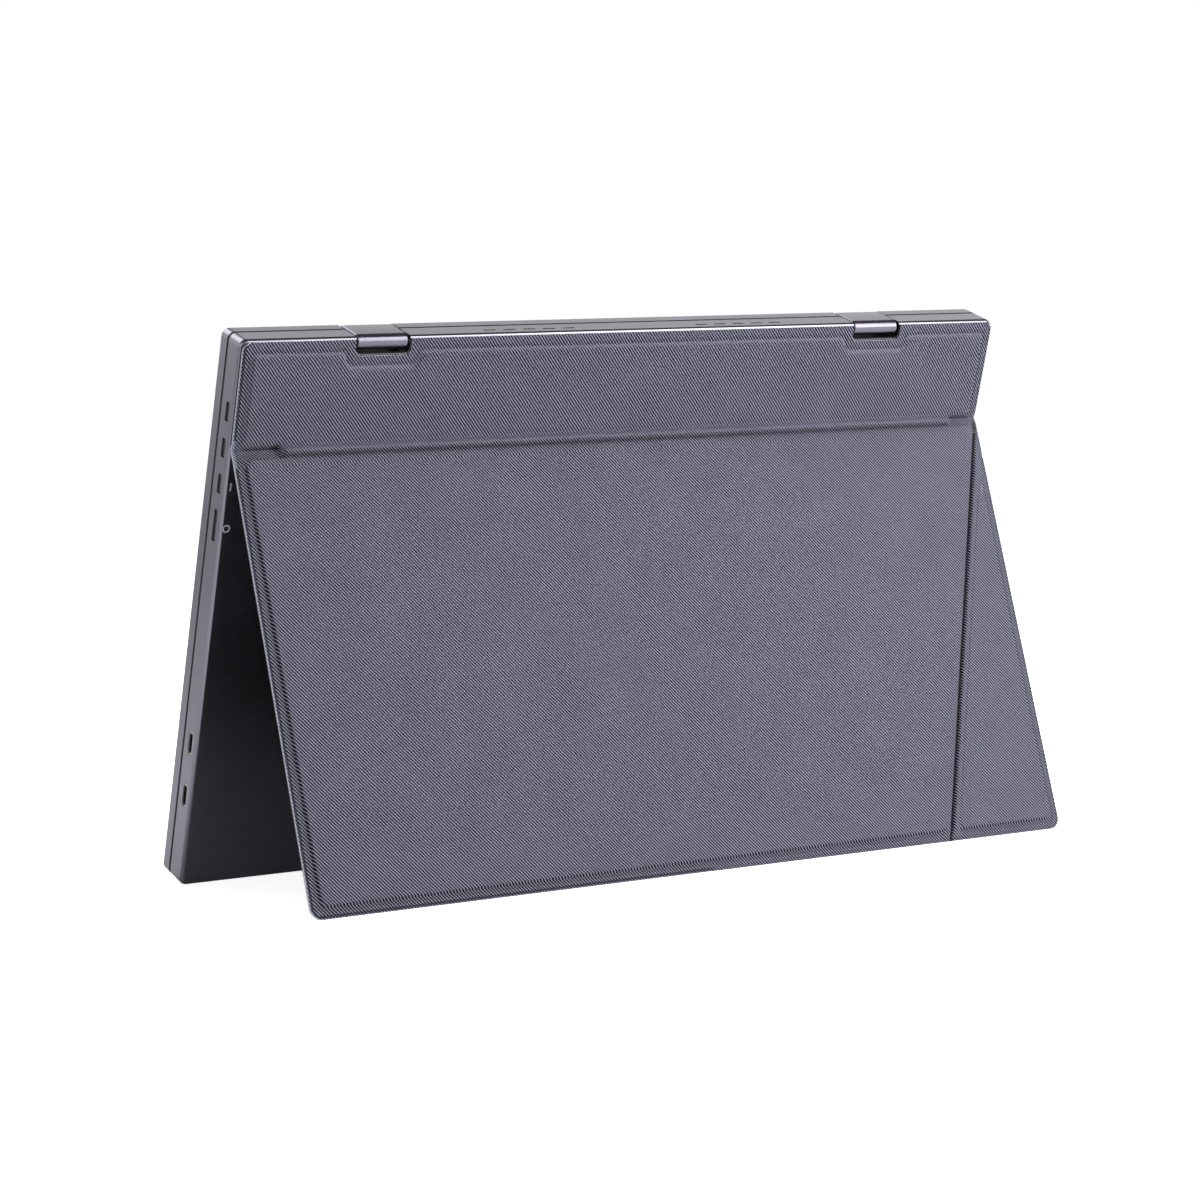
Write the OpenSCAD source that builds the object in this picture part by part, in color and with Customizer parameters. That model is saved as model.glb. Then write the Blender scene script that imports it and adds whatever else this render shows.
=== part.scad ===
/* [Slabs] */
// Width of both slabs, left to right
slab_width = 358; // [300:1:420]
// Height of both slabs, from the standing edge to the hinge edge
slab_height = 225; // [190:1:260]
// Thickness of the rear slab that holds the boards
base_thick = 10; // [9:0.1:14]
// Thickness of the front slab that holds the second screen
lid_thick = 6.2; // [6:0.1:9]
// Gap between the two closed slabs
seam_gap = 0.7; // [0.6:0.1:1.5]
// Corner radius of the slabs seen from the front
corner_r = 3; // [2:0.5:8]
// Round on the outer edges of the rear slab
base_edge_r = 1.5; // [0.5:0.1:2.5]
// Round on the outer edges of the front slab
lid_edge_r = 1.2; // [0.5:0.1:2]
// Chamfer on the slab edges along the seam
seam_chamfer = 0.5; // [0.5:0.1:1]
// Side wall of both metal shells
side_wall = 1.2; // [1:0.1:2]
// Back wall of the rear slab
base_back = 1.2; // [1:0.1:1.6]
// Back wall of the front slab
lid_back = 0.9; // [0.7:0.1:1.1]

/* [Stand] */
// Lean of the closed slabs from upright
lean = 17.5; // [10:0.5:25]
// Distance of the cover's upper crease from the top edge
crease_drop = 43.5; // [35:0.5:60]
// How far the stand flap ends short of the slab's lower edge when it is closed
flap_short = 0.7; // [0.2:0.1:3]

/* [Screens] */
// Border between each side of a slab and the lit picture
side_border = 6.9; // [6:0.1:20]
// Border between the top edge and the lit picture
top_border = 17; // [16:0.1:30]
// Height of the lit picture's lower edge above the slab's lower edge
active_lift = 14.4; // [10:0.1:20]
// Dead border of the panel at both sides and at the top
panel_border = 2.9; // [2:0.1:5]
// Height of the panel's lower edge above the slab's lower edge
panel_lift = 6; // [4:0.5:9]
// Thickness of the plastic bezel
bezel_thick = 0.8; // [0.6:0.1:1.2]
// Metal rim left outside the bezel
bezel_rim = 0.6; // [0.4:0.1:0.9]
// Bare margin between the picture and the bezel
bezel_margin = 0.5; // [0.2:0.1:1.5]
// Thickness of the glass cell
cell_thick = 0.8; // [0.6:0.1:1]
// Thickness of the backlight
light_thick = 1.7; // [1.5:0.1:1.9]
// Thickness of the rear slab's inner frame sheet
base_frame_thick = 0.35; // [0.3:0.05:0.6]
// Thickness of the front slab's inner frame sheet
lid_frame_thick = 0.3; // [0.3:0.05:0.4]

/* [Hinges] */
// Distance of each hinge's centre from the middle
hinge_x = 117.75; // [90:0.25:140]
// Width of each hinge notch
notch_w = 23.7; // [23:0.1:30]
// Depth of each hinge notch below the top edge
notch_depth = 6.9; // [6.6:0.1:9]
// Radius in the notch's lower corners
notch_r = 2.2; // [0.5:0.1:2.5]
// Wall around each notch inside the slabs
notch_wall = 1.2; // [1:0.1:2]
// Radius of the hinge cover's round ends
knuckle_r = 3.05; // [2.9:0.05:3.1]
// How far the hinge cover stands proud of the top edge
knuckle_proud = 0.35; // [0.2:0.05:0.8]
// Wall of the hinge cover
knuckle_wall = 0.6; // [0.5:0.05:0.7]
// Gap between each end of the hinge cover and the notch
knuckle_gap = 0.8; // [0.4:0.1:1.5]
// Radius of the hinge shafts
shaft_r = 0.95; // [0.8:0.05:1]
// Radial clearance of turning shafts in their bores
shaft_clear = 0.05; // [0.02:0.01:0.08]
// Outer radius of the bracket hub on each shaft
hub_r = 1.4; // [1.3:0.05:1.4]
// Length of each bracket along the top edge
bracket_len = 28; // [20:1:34]
// Thickness of the brackets
bracket_thick = 0.7; // [0.5:0.1:0.8]
// Width of the gear teeth along the shaft
gear_width = 4; // [3:0.5:5]
// Number of teeth on each gear
gear_teeth = 10; // [10:2:12]
// Radius of the idler gears' pins
idler_pin_r = 0.5; // [0.4:0.05:0.6]
// Radius of the cable between the slabs
cable_r = 0.7; // [0.5:0.05:0.8]

/* [Buttons] */
// Distance of the first small button from the top edge
button_first = 29.5; // [20:0.5:40]
// Step between the small buttons
button_step = 14.4; // [12:0.1:18]
// Length of each small button's slot
button_len = 7.7; // [5:0.1:10]
// Distance of the long button from the top edge
long_drop = 75.1; // [70:0.1:90]
// Length of the long button's slot
long_len = 12.8; // [10:0.1:18]
// Width of the button slots through the side
button_w = 2.8; // [2.2:0.1:3]
// Distance of the buttons and slots from the back face
side_line = 4.5; // [4.3:0.1:4.6]
// How far the keys sit below the side face
key_recess = 0.5; // [0.2:0.1:0.8]
// Gap around each key in its slot
key_clear = 0.15; // [0.1:0.05:0.25]
// Travel of a key
key_travel = 0.4; // [0.2:0.05:0.5]

/* [Ports] */
// Distance of the upper port from the top edge
port_upper = 165.6; // [140:0.1:175]
// Distance of the lower port from the top edge
port_lower = 187.8; // [180:0.1:200]
// Width of the port shell
port_w = 8.94; // [8.94:0.01:9]
// Height of the port shell
port_h = 3.2; // [3.1:0.02:3.26]
// Depth of the port shell
port_deep = 7.4; // [6.5:0.1:9]
// Wall of the port shell
port_wall = 0.3; // [0.2:0.05:0.4]
// Gap between the port shell and the slab's hole
port_clear = 0.15; // [0.1:0.05:0.3]
// How far the port mouth sits below the side face
port_recess = 0.2; // [0.1:0.05:0.6]

/* [Sound slots] */
// Number of slots in each group
sound_count = 5; // [3:1:7]
// Step between the slots
sound_step = 9.1; // [7:0.1:12]
// Length of one slot
sound_len = 5.8; // [4:0.1:8]
// Width of one slot
sound_w = 1; // [0.6:0.1:1.4]
// Distance of each group's middle from the slab's middle
sound_x = 50; // [40:0.5:60]

/* [Cover] */
// How far the fabric ends short of the slab's edges
cover_inset = 0.7; // [0.3:0.1:2]
// Width of the flat border between the fabric's edge and the stiff board
cover_border = 4; // [2:0.1:6]
// Thickness of the lining on the slab side
lining_thick = 0.3; // [0.2:0.05:0.5]
// Thickness of the woven fabric
fabric_thick = 0.6; // [0.4:0.05:0.8]
// Thickness of the stiff boards
board_thick = 1.2; // [0.8:0.1:1.6]
// Width of the bevel round the boards
board_bevel = 1.2; // [0.5:0.1:2]
// Space between the closed flap and the slab
cover_gap = 0.1; // [0.08:0.01:0.3]
// Board-free fabric above the upper crease
crease_above = 1.5; // [1:0.1:3]
// Board-free fabric below the upper crease
crease_below = 3.2; // [2:0.1:5]
// Half width of the slanted crease
wing_half = 2.2; // [1.8:0.1:4]
// Width of the folding corner at the flap's lower edge
wing_foot = 58.5; // [30:0.5:90]
// Corner radius of the fabric
fabric_corner_r = 5; // [1:0.5:8]
// Corner radius of the boards
board_corner_r = 2; // [0.5:0.5:4]
// Space between the fabric's edge and the hinge notch
notch_margin = 0.5; // [0.3:0.1:1.5]
// Radius of the fabric roll pinched in the upper crease
welt_r = 1.7; // [1:0.1:2]
// How far the roll's middle stands out from the crease
welt_out = 0.5; // [0:0.1:1]
// How far the roll's middle lies below the crease
welt_down = 0.6; // [0:0.1:1]
// Length of the fabric roll
welt_len = 317; // [200:1:340]

/* [Inside] */
// Thickness of the circuit boards
board_pcb = 0.8; // [0.6:0.1:1]
// Height of the board supports above the back wall
pcb_lift = 1; // [0.8:0.1:1.2]
// Width of the main board
main_w = 60; // [40:1:90]
// Height of the main board
main_h = 76; // [60:1:100]
// Width of the button board
keys_pcb_w = 9; // [6:0.5:14]
// Radius of the round posts that carry the inner frames
post_r = 2.4; // [2:0.1:4]
// Radius of the small screws
screw_r = 0.95; // [0.8:0.05:1]
// Radius of the small screws' heads
screw_head_r = 1.7; // [1.5:0.1:2]
// Radius of the round magnets
magnet_r = 5; // [3:0.5:8]
// Thickness of the round magnets
magnet_thick = 1; // [0.5:0.1:1.1]
// Height of the magnets above the lower edge
magnet_lift = 26; // [20:1:40]
// Width of the front slab's board
driver_w = 64; // [40:1:90]
// Height of the front slab's board
driver_h = 20; // [16:1:24]
// Length of the rubber pads between the slabs
pad_len = 16; // [8:1:24]
// Height of the rubber pads between the slabs
pad_h = 4; // [3:0.5:5]
// Length of each speaker
speaker_len = 44; // [38:1:50]

/* [Hidden] */
$fn = 64;
fine = 0.02;
total_thick = base_thick + seam_gap + lid_thick;
axis_in = lid_thick / 2;
axis_drop = knuckle_r - knuckle_proud;
axis_h = slab_height - axis_drop;
axis_lid = total_thick - axis_in;
axis_span = axis_lid - axis_in;
gear_r = axis_span / 6;
gear_module = 2 * gear_r / gear_teeth;
knuckle_len = notch_w - 2 * knuckle_gap;
pivot_h = slab_height - crease_drop;
cover_deep = cover_gap + lining_thick;
edge_deep = cover_deep + fabric_thick;
full_deep = edge_deep + board_thick;
pivot_deep = (cover_gap + edge_deep) / 2;
flap_len = pivot_h - flap_short;
foot_lift = base_edge_r * (cos(lean) + sin(lean) - 1);
pivot_z = pivot_h * cos(lean) - pivot_deep * sin(lean) - foot_lift;
flap_slope = acos(pivot_z / flap_len);
fold_open = lean + flap_slope;
front_y = (total_thick - lid_edge_r) * cos(lean) - lid_edge_r * sin(lean) + lid_edge_r;
rear_y = pivot_h * sin(lean) + pivot_deep * cos(lean) + flap_len * sin(flap_slope) + 0.9 * cos(flap_slope);
shift_y = (front_y - rear_y) / 2;
active_w = slab_width - 2 * side_border;
active_h = slab_height - active_lift - top_border;
panel_w = active_w + 2 * panel_border;
panel_top = active_lift + active_h + panel_border;
base_frame_top = base_thick - bezel_thick - cell_thick - light_thick;
base_frame_deep = base_frame_top - base_frame_thick;
lid_frame_top = lid_thick - bezel_thick - cell_thick - light_thick;
lid_frame_deep = lid_frame_top - lid_frame_thick;
pcb_deep = base_back + pcb_lift;
pcb_top = pcb_deep + board_pcb;
inner_x = slab_width / 2 - side_wall;
fabric_x = slab_width / 2 - cover_inset;
board_x = fabric_x - cover_border;
strip_low = pivot_h + crease_above;
flap_top = pivot_h - crease_below;
flap_low = pivot_h - flap_len;
wing_run = wing_foot / flap_len;
wing_angle = atan(wing_run);
wing_slant = 1 / cos(wing_angle);
post_x = slab_width / 2 - 29;
post_xs = [-post_x, -post_x / 3, post_x / 3, post_x];
post_hs = [12, slab_height / 2 - 0.5, slab_height - 21];
key_drops = [button_first, button_first + button_step, button_first + 2 * button_step, long_drop];
key_lens = [button_len, button_len, button_len, long_len];
port_drops = [port_upper, port_lower];
main_x = inner_x - port_deep + side_wall - port_recess;
keys_x = inner_x - 5;
magnet_spots = [[slab_width / 2 - 39, magnet_lift], [0, magnet_lift], [89 - slab_width / 2, magnet_lift]];
bead_r = (edge_deep - cover_gap) / 2 + 0.05;
bracket_x0 = notch_w / 2 + notch_wall + 0.3;

// Plate space: x across, y up the slab, z from the back face towards the screens
module on_slab() {
  translate([0, shift_y, -foot_lift])
    rotate([90 - lean, 0, 0])
      children();
}

// The flap is drawn closed in plate space and swung open about the crease
module on_flap() {
  on_slab()
    translate([0, pivot_h, -pivot_deep])
      rotate([fold_open, 0, 0])
        translate([0, -pivot_h, pivot_deep])
          children();
}

// Lid space: z from the front slab's outer face towards its screen
module on_lid() {
  on_slab()
    translate([0, 0, total_thick])
      mirror([0, 0, 1])
        children();
}

// A pair of things, one at each hinge
module both_hinges() {
  translate([hinge_x, 0, 0])
    children();
  translate([-hinge_x, 0, 0])
    mirror([1, 0, 0])
      children();
}

module round_rect(w, h, r) {
  square([w - 2 * r, h], center = true);
  square([w, h - 2 * r], center = true);
  for (sx = [-1, 1])
    for (sy = [-1, 1])
      translate([sx * (w / 2 - r), sy * (h / 2 - r)])
        circle(r);
}

// Rounded outline that stands on y = low
module outline(w, low, high, r) {
  translate([0, (low + high) / 2])
    round_rect(w, high - low, r);
}

module notch_shape(margin) {
  for (sx = [-1, 1])
    translate([sx * hinge_x, slab_height + 5 - (notch_depth + margin + 5) / 2])
      round_rect(notch_w + 2 * margin, notch_depth + margin + 5, notch_r + min(margin, 0.5));
}

// Section through an edge: x outwards, y from the outer face inwards
module edge_section(t, er) {
  square([corner_r - er, t - seam_chamfer]);
  translate([0, er])
    square([corner_r, t - er - seam_chamfer]);
  translate([corner_r - er, er])
    circle(er);
  polygon([[0, t - seam_chamfer - fine], [corner_r, t - seam_chamfer - fine],
    [corner_r, t - seam_chamfer], [corner_r - seam_chamfer, t], [0, t]]);
}

// Slab body with a round on its outer edges and a chamfer at the seam
module slab_body(t, er) {
  x1 = slab_width / 2 - corner_r;
  y1 = slab_height - corner_r;
  translate([-x1, corner_r, 0])
    cube([2 * x1, slab_height - 2 * corner_r, t]);
  for (sx = [0, 1])
    mirror([sx, 0, 0]) {
      translate([x1, y1, 0])
        rotate([90, 0, 0])
          linear_extrude(slab_height - 2 * corner_r)
            edge_section(t, er);
      translate([x1, y1, 0])
        rotate_extrude(angle = 90)
          edge_section(t, er);
      translate([x1, corner_r, 0])
        mirror([0, 1, 0])
          rotate_extrude(angle = 90)
            edge_section(t, er);
    }
  translate([-x1, y1, 0])
    rotate([90, 0, 90])
      linear_extrude(2 * x1)
        edge_section(t, er);
  translate([-x1, corner_r, 0])
    mirror([0, 1, 0])
      rotate([90, 0, 90])
        linear_extrude(2 * x1)
          edge_section(t, er);
}

module frame_posts(low, high) {
  for (px = post_xs)
    for (py = post_hs)
      translate([px, py, low])
        cylinder(r = post_r, h = high - low);
}

module frame_post_holes(low, high, r) {
  for (px = post_xs)
    for (py = post_hs)
      translate([px, py, low])
        cylinder(r = r, h = high - low);
}

// Metal tray of a slab: walls, notch pockets, posts and bracket seats
module tray(t, er, back, frame_deep) {
  cavity_w = slab_width - 2 * side_wall;
  difference() {
    union() {
      difference() {
        slab_body(t, er);
        translate([0, 0, back])
          linear_extrude(t)
            outline(cavity_w, side_wall, slab_height - side_wall, corner_r - side_wall);
        translate([0, 0, t - bezel_thick])
          linear_extrude(t)
            outline(slab_width - 2 * bezel_rim, bezel_rim, slab_height - bezel_rim, corner_r - bezel_rim);
      }
      for (sx = [-1, 1])
        translate([sx * hinge_x - notch_w / 2 - notch_wall, slab_height - notch_depth - notch_wall,
            back - fine])
          cube([notch_w + 2 * notch_wall, notch_depth + notch_wall - side_wall + fine,
            t - bezel_thick - back + fine]);
      frame_posts(back - fine, frame_deep);
      both_hinges()
        bracket_seats(back);
    }
    translate([0, 0, -1])
      linear_extrude(t + 2)
        notch_shape(0);
    both_hinges()
      translate([0, axis_h, axis_in])
        rotate([0, 90, 0])
          cylinder(r = shaft_r + 0.25, h = notch_w + 2 * notch_wall + 2, center = true);
    frame_post_holes(back - 0.4, frame_deep + 1, screw_r + shaft_clear);
    both_hinges()
      bracket_holes(back - 0.5, back + 5, screw_r + shaft_clear);
  }
}

seat_deep = axis_in - hub_r;
bracket_h = slab_height - side_wall - 0.4;
bracket_low = panel_top + 1.4;
bracket_mid = (bracket_low + axis_h - hub_r) / 2;

module bracket_spots() {
  for (k = [0, 1, 2])
    translate([-bracket_x0 - 4 - k * (bracket_len - 8) / 2, bracket_mid, 0])
      children();
}

module bracket_seats(back) {
  bracket_spots()
    translate([0, 0, back - fine])
      cylinder(r = screw_head_r + 0.6, h = seat_deep - back + fine);
}

module bracket_holes(low, high, r) {
  bracket_spots()
    translate([0, 0, low])
      cylinder(r = r, h = high - low);
}

// Bracket: a hub on the shaft with a plate that is screwed to the tray
module bracket() {
  difference() {
    union() {
      translate([-bracket_x0 - bracket_len, axis_h, axis_in])
        rotate([0, 90, 0])
          cylinder(r = hub_r, h = bracket_len);
      translate([-bracket_x0 - bracket_len, bracket_low, seat_deep])
        cube([bracket_len, axis_h - bracket_low, bracket_thick]);
    }
    translate([-bracket_x0 - bracket_len - 1, axis_h, axis_in])
      rotate([0, 90, 0])
        cylinder(r = shaft_r, h = bracket_len + 2);
    bracket_holes(seat_deep - 1, seat_deep + bracket_thick + 1, screw_r + shaft_clear);
  }
}

module small_screw(shank) {
  translate([0, 0, -shank])
    cylinder(r = screw_r, h = shank + fine);
  difference() {
    cylinder(r = screw_head_r, h = 0.4);
    translate([0, 0, 0.2])
      for (k = [0, 90])
        rotate([0, 0, k])
          translate([-0.9, -0.2, 0])
            cube([1.8, 0.4, 1]);
  }
}

module bracket_screws() {
  bracket_spots()
    translate([0, 0, seat_deep + bracket_thick])
      small_screw(bracket_thick + 0.9);
}

// Shaft: from the bracket through the notch wall to its head inside the hinge cover
shaft_reach = -knuckle_len / 2 + 12;

module shaft() {
  translate([-bracket_x0 - bracket_len, axis_h, axis_in])
    rotate([0, 90, 0])
      cylinder(r = shaft_r, h = bracket_x0 + bracket_len + shaft_reach);
  translate([shaft_reach - 0.5, axis_h, axis_in])
    rotate([0, 90, 0])
      cylinder(r = shaft_r + 0.6, h = 0.5);
}

// Gear outline with slim teeth, turned by a share of one tooth
module gear_shape(share) {
  root = gear_r - 1.15 * gear_module;
  tip = gear_r + 0.85 * gear_module;
  rotate([0, 0, share * 360 / gear_teeth])
    union() {
      circle(root);
      for (k = [0 : gear_teeth - 1])
        rotate([0, 0, k * 360 / gear_teeth])
          polygon([[0.8 * root, -0.9 * gear_module], [root, -0.82 * gear_module],
            [gear_r, -0.6 * gear_module], [tip, -0.28 * gear_module],
            [tip, 0.28 * gear_module], [gear_r, 0.6 * gear_module],
            [root, 0.82 * gear_module], [0.8 * root, 0.9 * gear_module]]);
    }
}

gear_x = -knuckle_len / 2 + 1.3;

module hinge_gear(deep, share, bore) {
  translate([gear_x, axis_h, deep])
    rotate([0, 90, 0])
      linear_extrude(gear_width)
        difference() {
          gear_shape(share);
          circle(bore);
        }
}

module idler(deep, share) {
  translate([gear_x, axis_h, deep])
    rotate([0, 90, 0])
      linear_extrude(gear_width)
        gear_shape(share);
  translate([gear_x - 1, axis_h, deep])
    rotate([0, 90, 0])
      cylinder(r = idler_pin_r, h = gear_width + 2);
}

// Flat link: a slot shape round both hinge axes
module link_shape(r) {
  translate([0, -r])
    square([axis_span, 2 * r]);
  circle(r);
  translate([axis_span, 0])
    circle(r);
}

// Turns a drawing of the link, drawn with x along the link, into plate space
module along_link(x0, len) {
  translate([x0, axis_h, axis_in])
    rotate([0, -90, 180])
      linear_extrude(len)
        children();
}

module knuckle() {
  difference() {
    along_link(-knuckle_len / 2, knuckle_len)
      link_shape(knuckle_r);
    along_link(-knuckle_len / 2 - 1, knuckle_len + 2)
      link_shape(knuckle_r - knuckle_wall);
  }
}

plate_r = knuckle_r - knuckle_wall;

module link_plates() {
  along_link(-knuckle_len / 2, 1)
    difference() {
      link_shape(plate_r);
      for (k = [0, 1])
        translate([k * axis_span, 0])
          circle(shaft_r + shaft_clear);
      for (k = [1, 2])
        translate([k * axis_span / 3, 0])
          circle(idler_pin_r + shaft_clear);
    }
  along_link(gear_x + gear_width + 0.3, 0.8)
    difference() {
      link_shape(plate_r);
      for (k = [0, 1])
        translate([k * axis_span, 0])
          circle(shaft_r + shaft_clear);
      for (k = [1, 2])
        translate([k * axis_span / 3, 0])
          circle(idler_pin_r + shaft_clear);
    }
  along_link(knuckle_len / 2 - 1, 1)
    difference() {
      link_shape(plate_r);
      for (k = [0, 1])
        translate([k * axis_span, 0])
          circle(cable_r + 0.3);
    }
}

clip_x = gear_x + gear_width + 1.4;

module friction_clip() {
  along_link(clip_x, shaft_reach - 0.8 - clip_x)
    difference() {
      link_shape(plate_r - 0.1);
      for (k = [0, 1])
        translate([k * axis_span, 0])
          circle(shaft_r + fine);
      translate([axis_span / 2, 0])
        square([axis_span - 4.4, 1.2], center = true);
    }
}

// A run of cable through a list of points
module cable_run(points, r) {
  for (k = [0 : len(points) - 2]) {
    a = points[k];
    v = points[k + 1] - a;
    l = norm(v);
    translate(a)
      rotate([0, acos(v[2] / l), atan2(v[1], v[0])])
        cylinder(r = r, h = l);
    if (k > 0)
      translate(a)
        sphere(r);
  }
}

// Pads on the back wall that carry a circuit board
module pcb_pads(x0, y0, w, h) {
  for (sx = [0, 1])
    for (sy = [0, 1])
      translate([x0 + 3 + sx * (w - 6), y0 + 3 + sy * (h - 6), base_back - fine])
        cylinder(r = 2, h = pcb_lift + fine);
}

main_low = slab_height - port_lower - 12;
keys_low = slab_height - long_drop - 9;
keys_high = slab_height - button_first + 7;

module side_slot(drop, l, w, r) {
  translate([slab_width / 2 - side_wall - 1, slab_height - drop, side_line])
    rotate([90, 0, 90])
      linear_extrude(side_wall + 2)
        round_rect(l, w, r);
}

module base_shell() {
  color("dimgray")
    on_slab()
      difference() {
        union() {
          tray(base_thick, base_edge_r, base_back, base_frame_deep);
          pcb_pads(main_x - main_w, main_low, main_w, main_h);
          pcb_pads(keys_x - keys_pcb_w, keys_low, keys_pcb_w, keys_high - keys_low);
        }
        for (k = [0 : 3])
          side_slot(key_drops[k], key_lens[k], button_w, 0.6);
        for (d = port_drops)
          side_slot(d, port_w + 2 * port_clear, port_h + 2 * port_clear, port_h / 2);
        for (sx = [-1, 1])
          for (k = [0 : sound_count - 1])
            translate([sx * sound_x + (k - (sound_count - 1) / 2) * sound_step,
                slab_height - side_wall - 1, side_line])
              rotate([-90, 0, 0])
                linear_extrude(side_wall + 2)
                  round_rect(sound_len, sound_w, sound_w / 2 - fine);
      }
}

module lid_shell() {
  color("dimgray")
    on_lid()
      tray(lid_thick, lid_edge_r, lid_back, lid_frame_deep);
}

module bezel(t) {
  translate([0, 0, t - bezel_thick])
    linear_extrude(bezel_thick)
      difference() {
        outline(slab_width - 2 * bezel_rim - 0.1, bezel_rim + 0.05, slab_height - bezel_rim - 0.05,
          corner_r - bezel_rim);
        outline(active_w + 2 * bezel_margin, active_lift - bezel_margin,
          active_lift + active_h + bezel_margin, 0.5);
        notch_shape(0);
      }
}

module base_bezel() {
  color("black")
    on_slab()
      bezel(base_thick);
}

module lid_bezel() {
  color("black")
    on_lid()
      bezel(lid_thick);
}

module panel_sheet(deep, thick, shrink) {
  translate([0, 0, deep])
    linear_extrude(thick)
      outline(panel_w - 2 * shrink, panel_lift + shrink, panel_top - shrink, 0.5);
}

module base_screen() {
  color("midnightblue")
    on_slab()
      panel_sheet(base_thick - bezel_thick - cell_thick, cell_thick, 0.3);
}

module lid_screen() {
  color("midnightblue")
    on_lid()
      panel_sheet(lid_thick - bezel_thick - cell_thick, cell_thick, 0.3);
}

module base_backlight() {
  color("silver")
    on_slab()
      panel_sheet(base_frame_top, light_thick, 0);
}

module lid_backlight() {
  color("silver")
    on_lid()
      panel_sheet(lid_frame_top, light_thick, 0);
}

module frame_sheet(deep, thick) {
  translate([0, 0, deep])
    linear_extrude(thick)
      difference() {
        outline(2 * inner_x - 0.6, side_wall + 0.3, panel_top + 0.5, 1);
        for (cx = [-1, 0, 1])
          for (k = [0, 1])
            translate([cx * 2 * post_x / 3, (post_hs[k] + post_hs[k + 1]) / 2])
              round_rect(2 * post_x / 3 - 30, post_hs[k + 1] - post_hs[k] - 38, 6);
      }
}

// Countersunk holes for the frame screws
module frame_sinks(deep, thick) {
  for (px = post_xs)
    for (py = post_hs)
      translate([px, py, deep - fine])
        cylinder(r1 = screw_r + shaft_clear, r2 = screw_r + shaft_clear + thick + 2 * fine,
          h = thick + 2 * fine);
}

module base_frame() {
  color("gainsboro")
    on_slab()
      difference() {
        frame_sheet(base_frame_deep, base_frame_thick);
        frame_sinks(base_frame_deep, base_frame_thick);
      }
}

module lid_frame() {
  color("gainsboro")
    on_lid()
      difference() {
        frame_sheet(lid_frame_deep, lid_frame_thick);
        frame_sinks(lid_frame_deep, lid_frame_thick);
      }
}

module frame_screw_set(deep, thick, shank) {
  for (px = post_xs)
    for (py = post_hs)
      translate([px, py, deep]) {
        cylinder(r1 = screw_r, r2 = screw_r + thick - fine, h = thick - fine);
        translate([0, 0, -shank])
          cylinder(r = screw_r, h = shank);
      }
}

module base_frame_screws() {
  color("silver")
    on_slab()
      frame_screw_set(base_frame_deep, base_frame_thick, 3);
}

module lid_frame_screws() {
  color("silver")
    on_lid()
      frame_screw_set(lid_frame_deep, lid_frame_thick, 1.8);
}

module main_board() {
  color("darkgreen")
    on_slab()
      translate([main_x - main_w, main_low, pcb_deep])
        cube([main_w, main_h, board_pcb]);
}

module board_chips() {
  color("dimgray")
    on_slab()
      translate([main_x - main_w, main_low, pcb_top]) {
        translate([0.3 * main_w, 0.45 * main_h, 0])
          cube([0.25 * main_w, 0.25 * main_w, 1.2]);
        translate([0.66 * main_w, 0.13 * main_h, 0])
          cube([0.1 * main_w, 0.1 * main_w, 0.9]);
        translate([0.66 * main_w, 0.45 * main_h, 0])
          cube([0.1 * main_w, 0.1 * main_w, 0.9]);
        translate([0.16 * main_w, 0.11 * main_h, 0])
          cube([0.2 * main_w, 0.08 * main_h, 2]);
        translate([0.14 * main_w, 0.76 * main_h, 0])
          cube([0.33 * main_w, 0.07 * main_h, 1.6]);
        translate([0.73 * main_w, 0.79 * main_h, 0])
          cylinder(r = 2, h = 2.4);
      }
}

module port_shape(grow) {
  round_rect(port_w + 2 * grow, port_h + 2 * grow, port_h / 2 + grow - fine);
}

module port_at(drop) {
  translate([slab_width / 2 - port_recess - port_deep, slab_height - drop, pcb_top + port_h / 2])
    rotate([90, 0, 90])
      children();
}

module port_shells() {
  color("lightgray")
    on_slab()
      for (d = port_drops)
        port_at(d)
          difference() {
            linear_extrude(port_deep)
              port_shape(0);
            translate([0, 0, 0.6])
              linear_extrude(port_deep)
                port_shape(-port_wall);
          }
}

module port_tongues() {
  color("black")
    on_slab()
      for (d = port_drops)
        port_at(d)
          translate([-3.35, -0.35, 0.6])
            cube([6.7, 0.7, port_deep - 1.4]);
}

module button_board() {
  color("darkgreen")
    on_slab()
      translate([keys_x - keys_pcb_w, keys_low, pcb_deep])
        cube([keys_pcb_w, keys_high - keys_low, board_pcb]);
}

switch_x = keys_x - 0.4;
stem_x = switch_x + key_travel + 0.05;

module button_switches() {
  color("gray")
    on_slab()
      for (k = [0 : 3])
        translate([switch_x - 3.5, slab_height - key_drops[k] - 2.3, pcb_top])
          cube([3.5, 4.6, 2.6]);
}

module key(k) {
  color("darkslategray")
    on_slab()
      translate([0, slab_height - key_drops[k], side_line])
        rotate([90, 0, 90]) {
          translate([0, 0, inner_x - 0.65])
            linear_extrude(side_wall - key_recess + 0.65)
              round_rect(key_lens[k] - 2 * key_clear, button_w - 2 * key_clear, 0.5);
          translate([0, 0, inner_x - 0.65])
            linear_extrude(0.6)
              round_rect(key_lens[k] + 1.2, button_w + 0.6, 0.5);
          translate([-1, -0.8, stem_x])
            cube([2, 1.6, inner_x - 0.6 - stem_x]);
        }
}

module key_1() {
  key(0);
}

module key_2() {
  key(1);
}

module key_3() {
  key(2);
}

module key_long() {
  key(3);
}

module speakers() {
  color("black")
    on_slab()
      for (sx = [-1, 1])
        translate([sx * sound_x, 0, 0]) {
          translate([-speaker_len / 2, panel_top + 0.8, base_back + 0.05])
            difference() {
              cube([speaker_len, slab_height - side_wall - panel_top - 1.1,
                base_frame_top - base_back - 0.4]);
              translate([1, slab_height - side_wall - panel_top - 3.1, 1])
                cube([speaker_len - 2, 3, base_frame_top - base_back - 2.4]);
            }
        }
}

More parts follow.
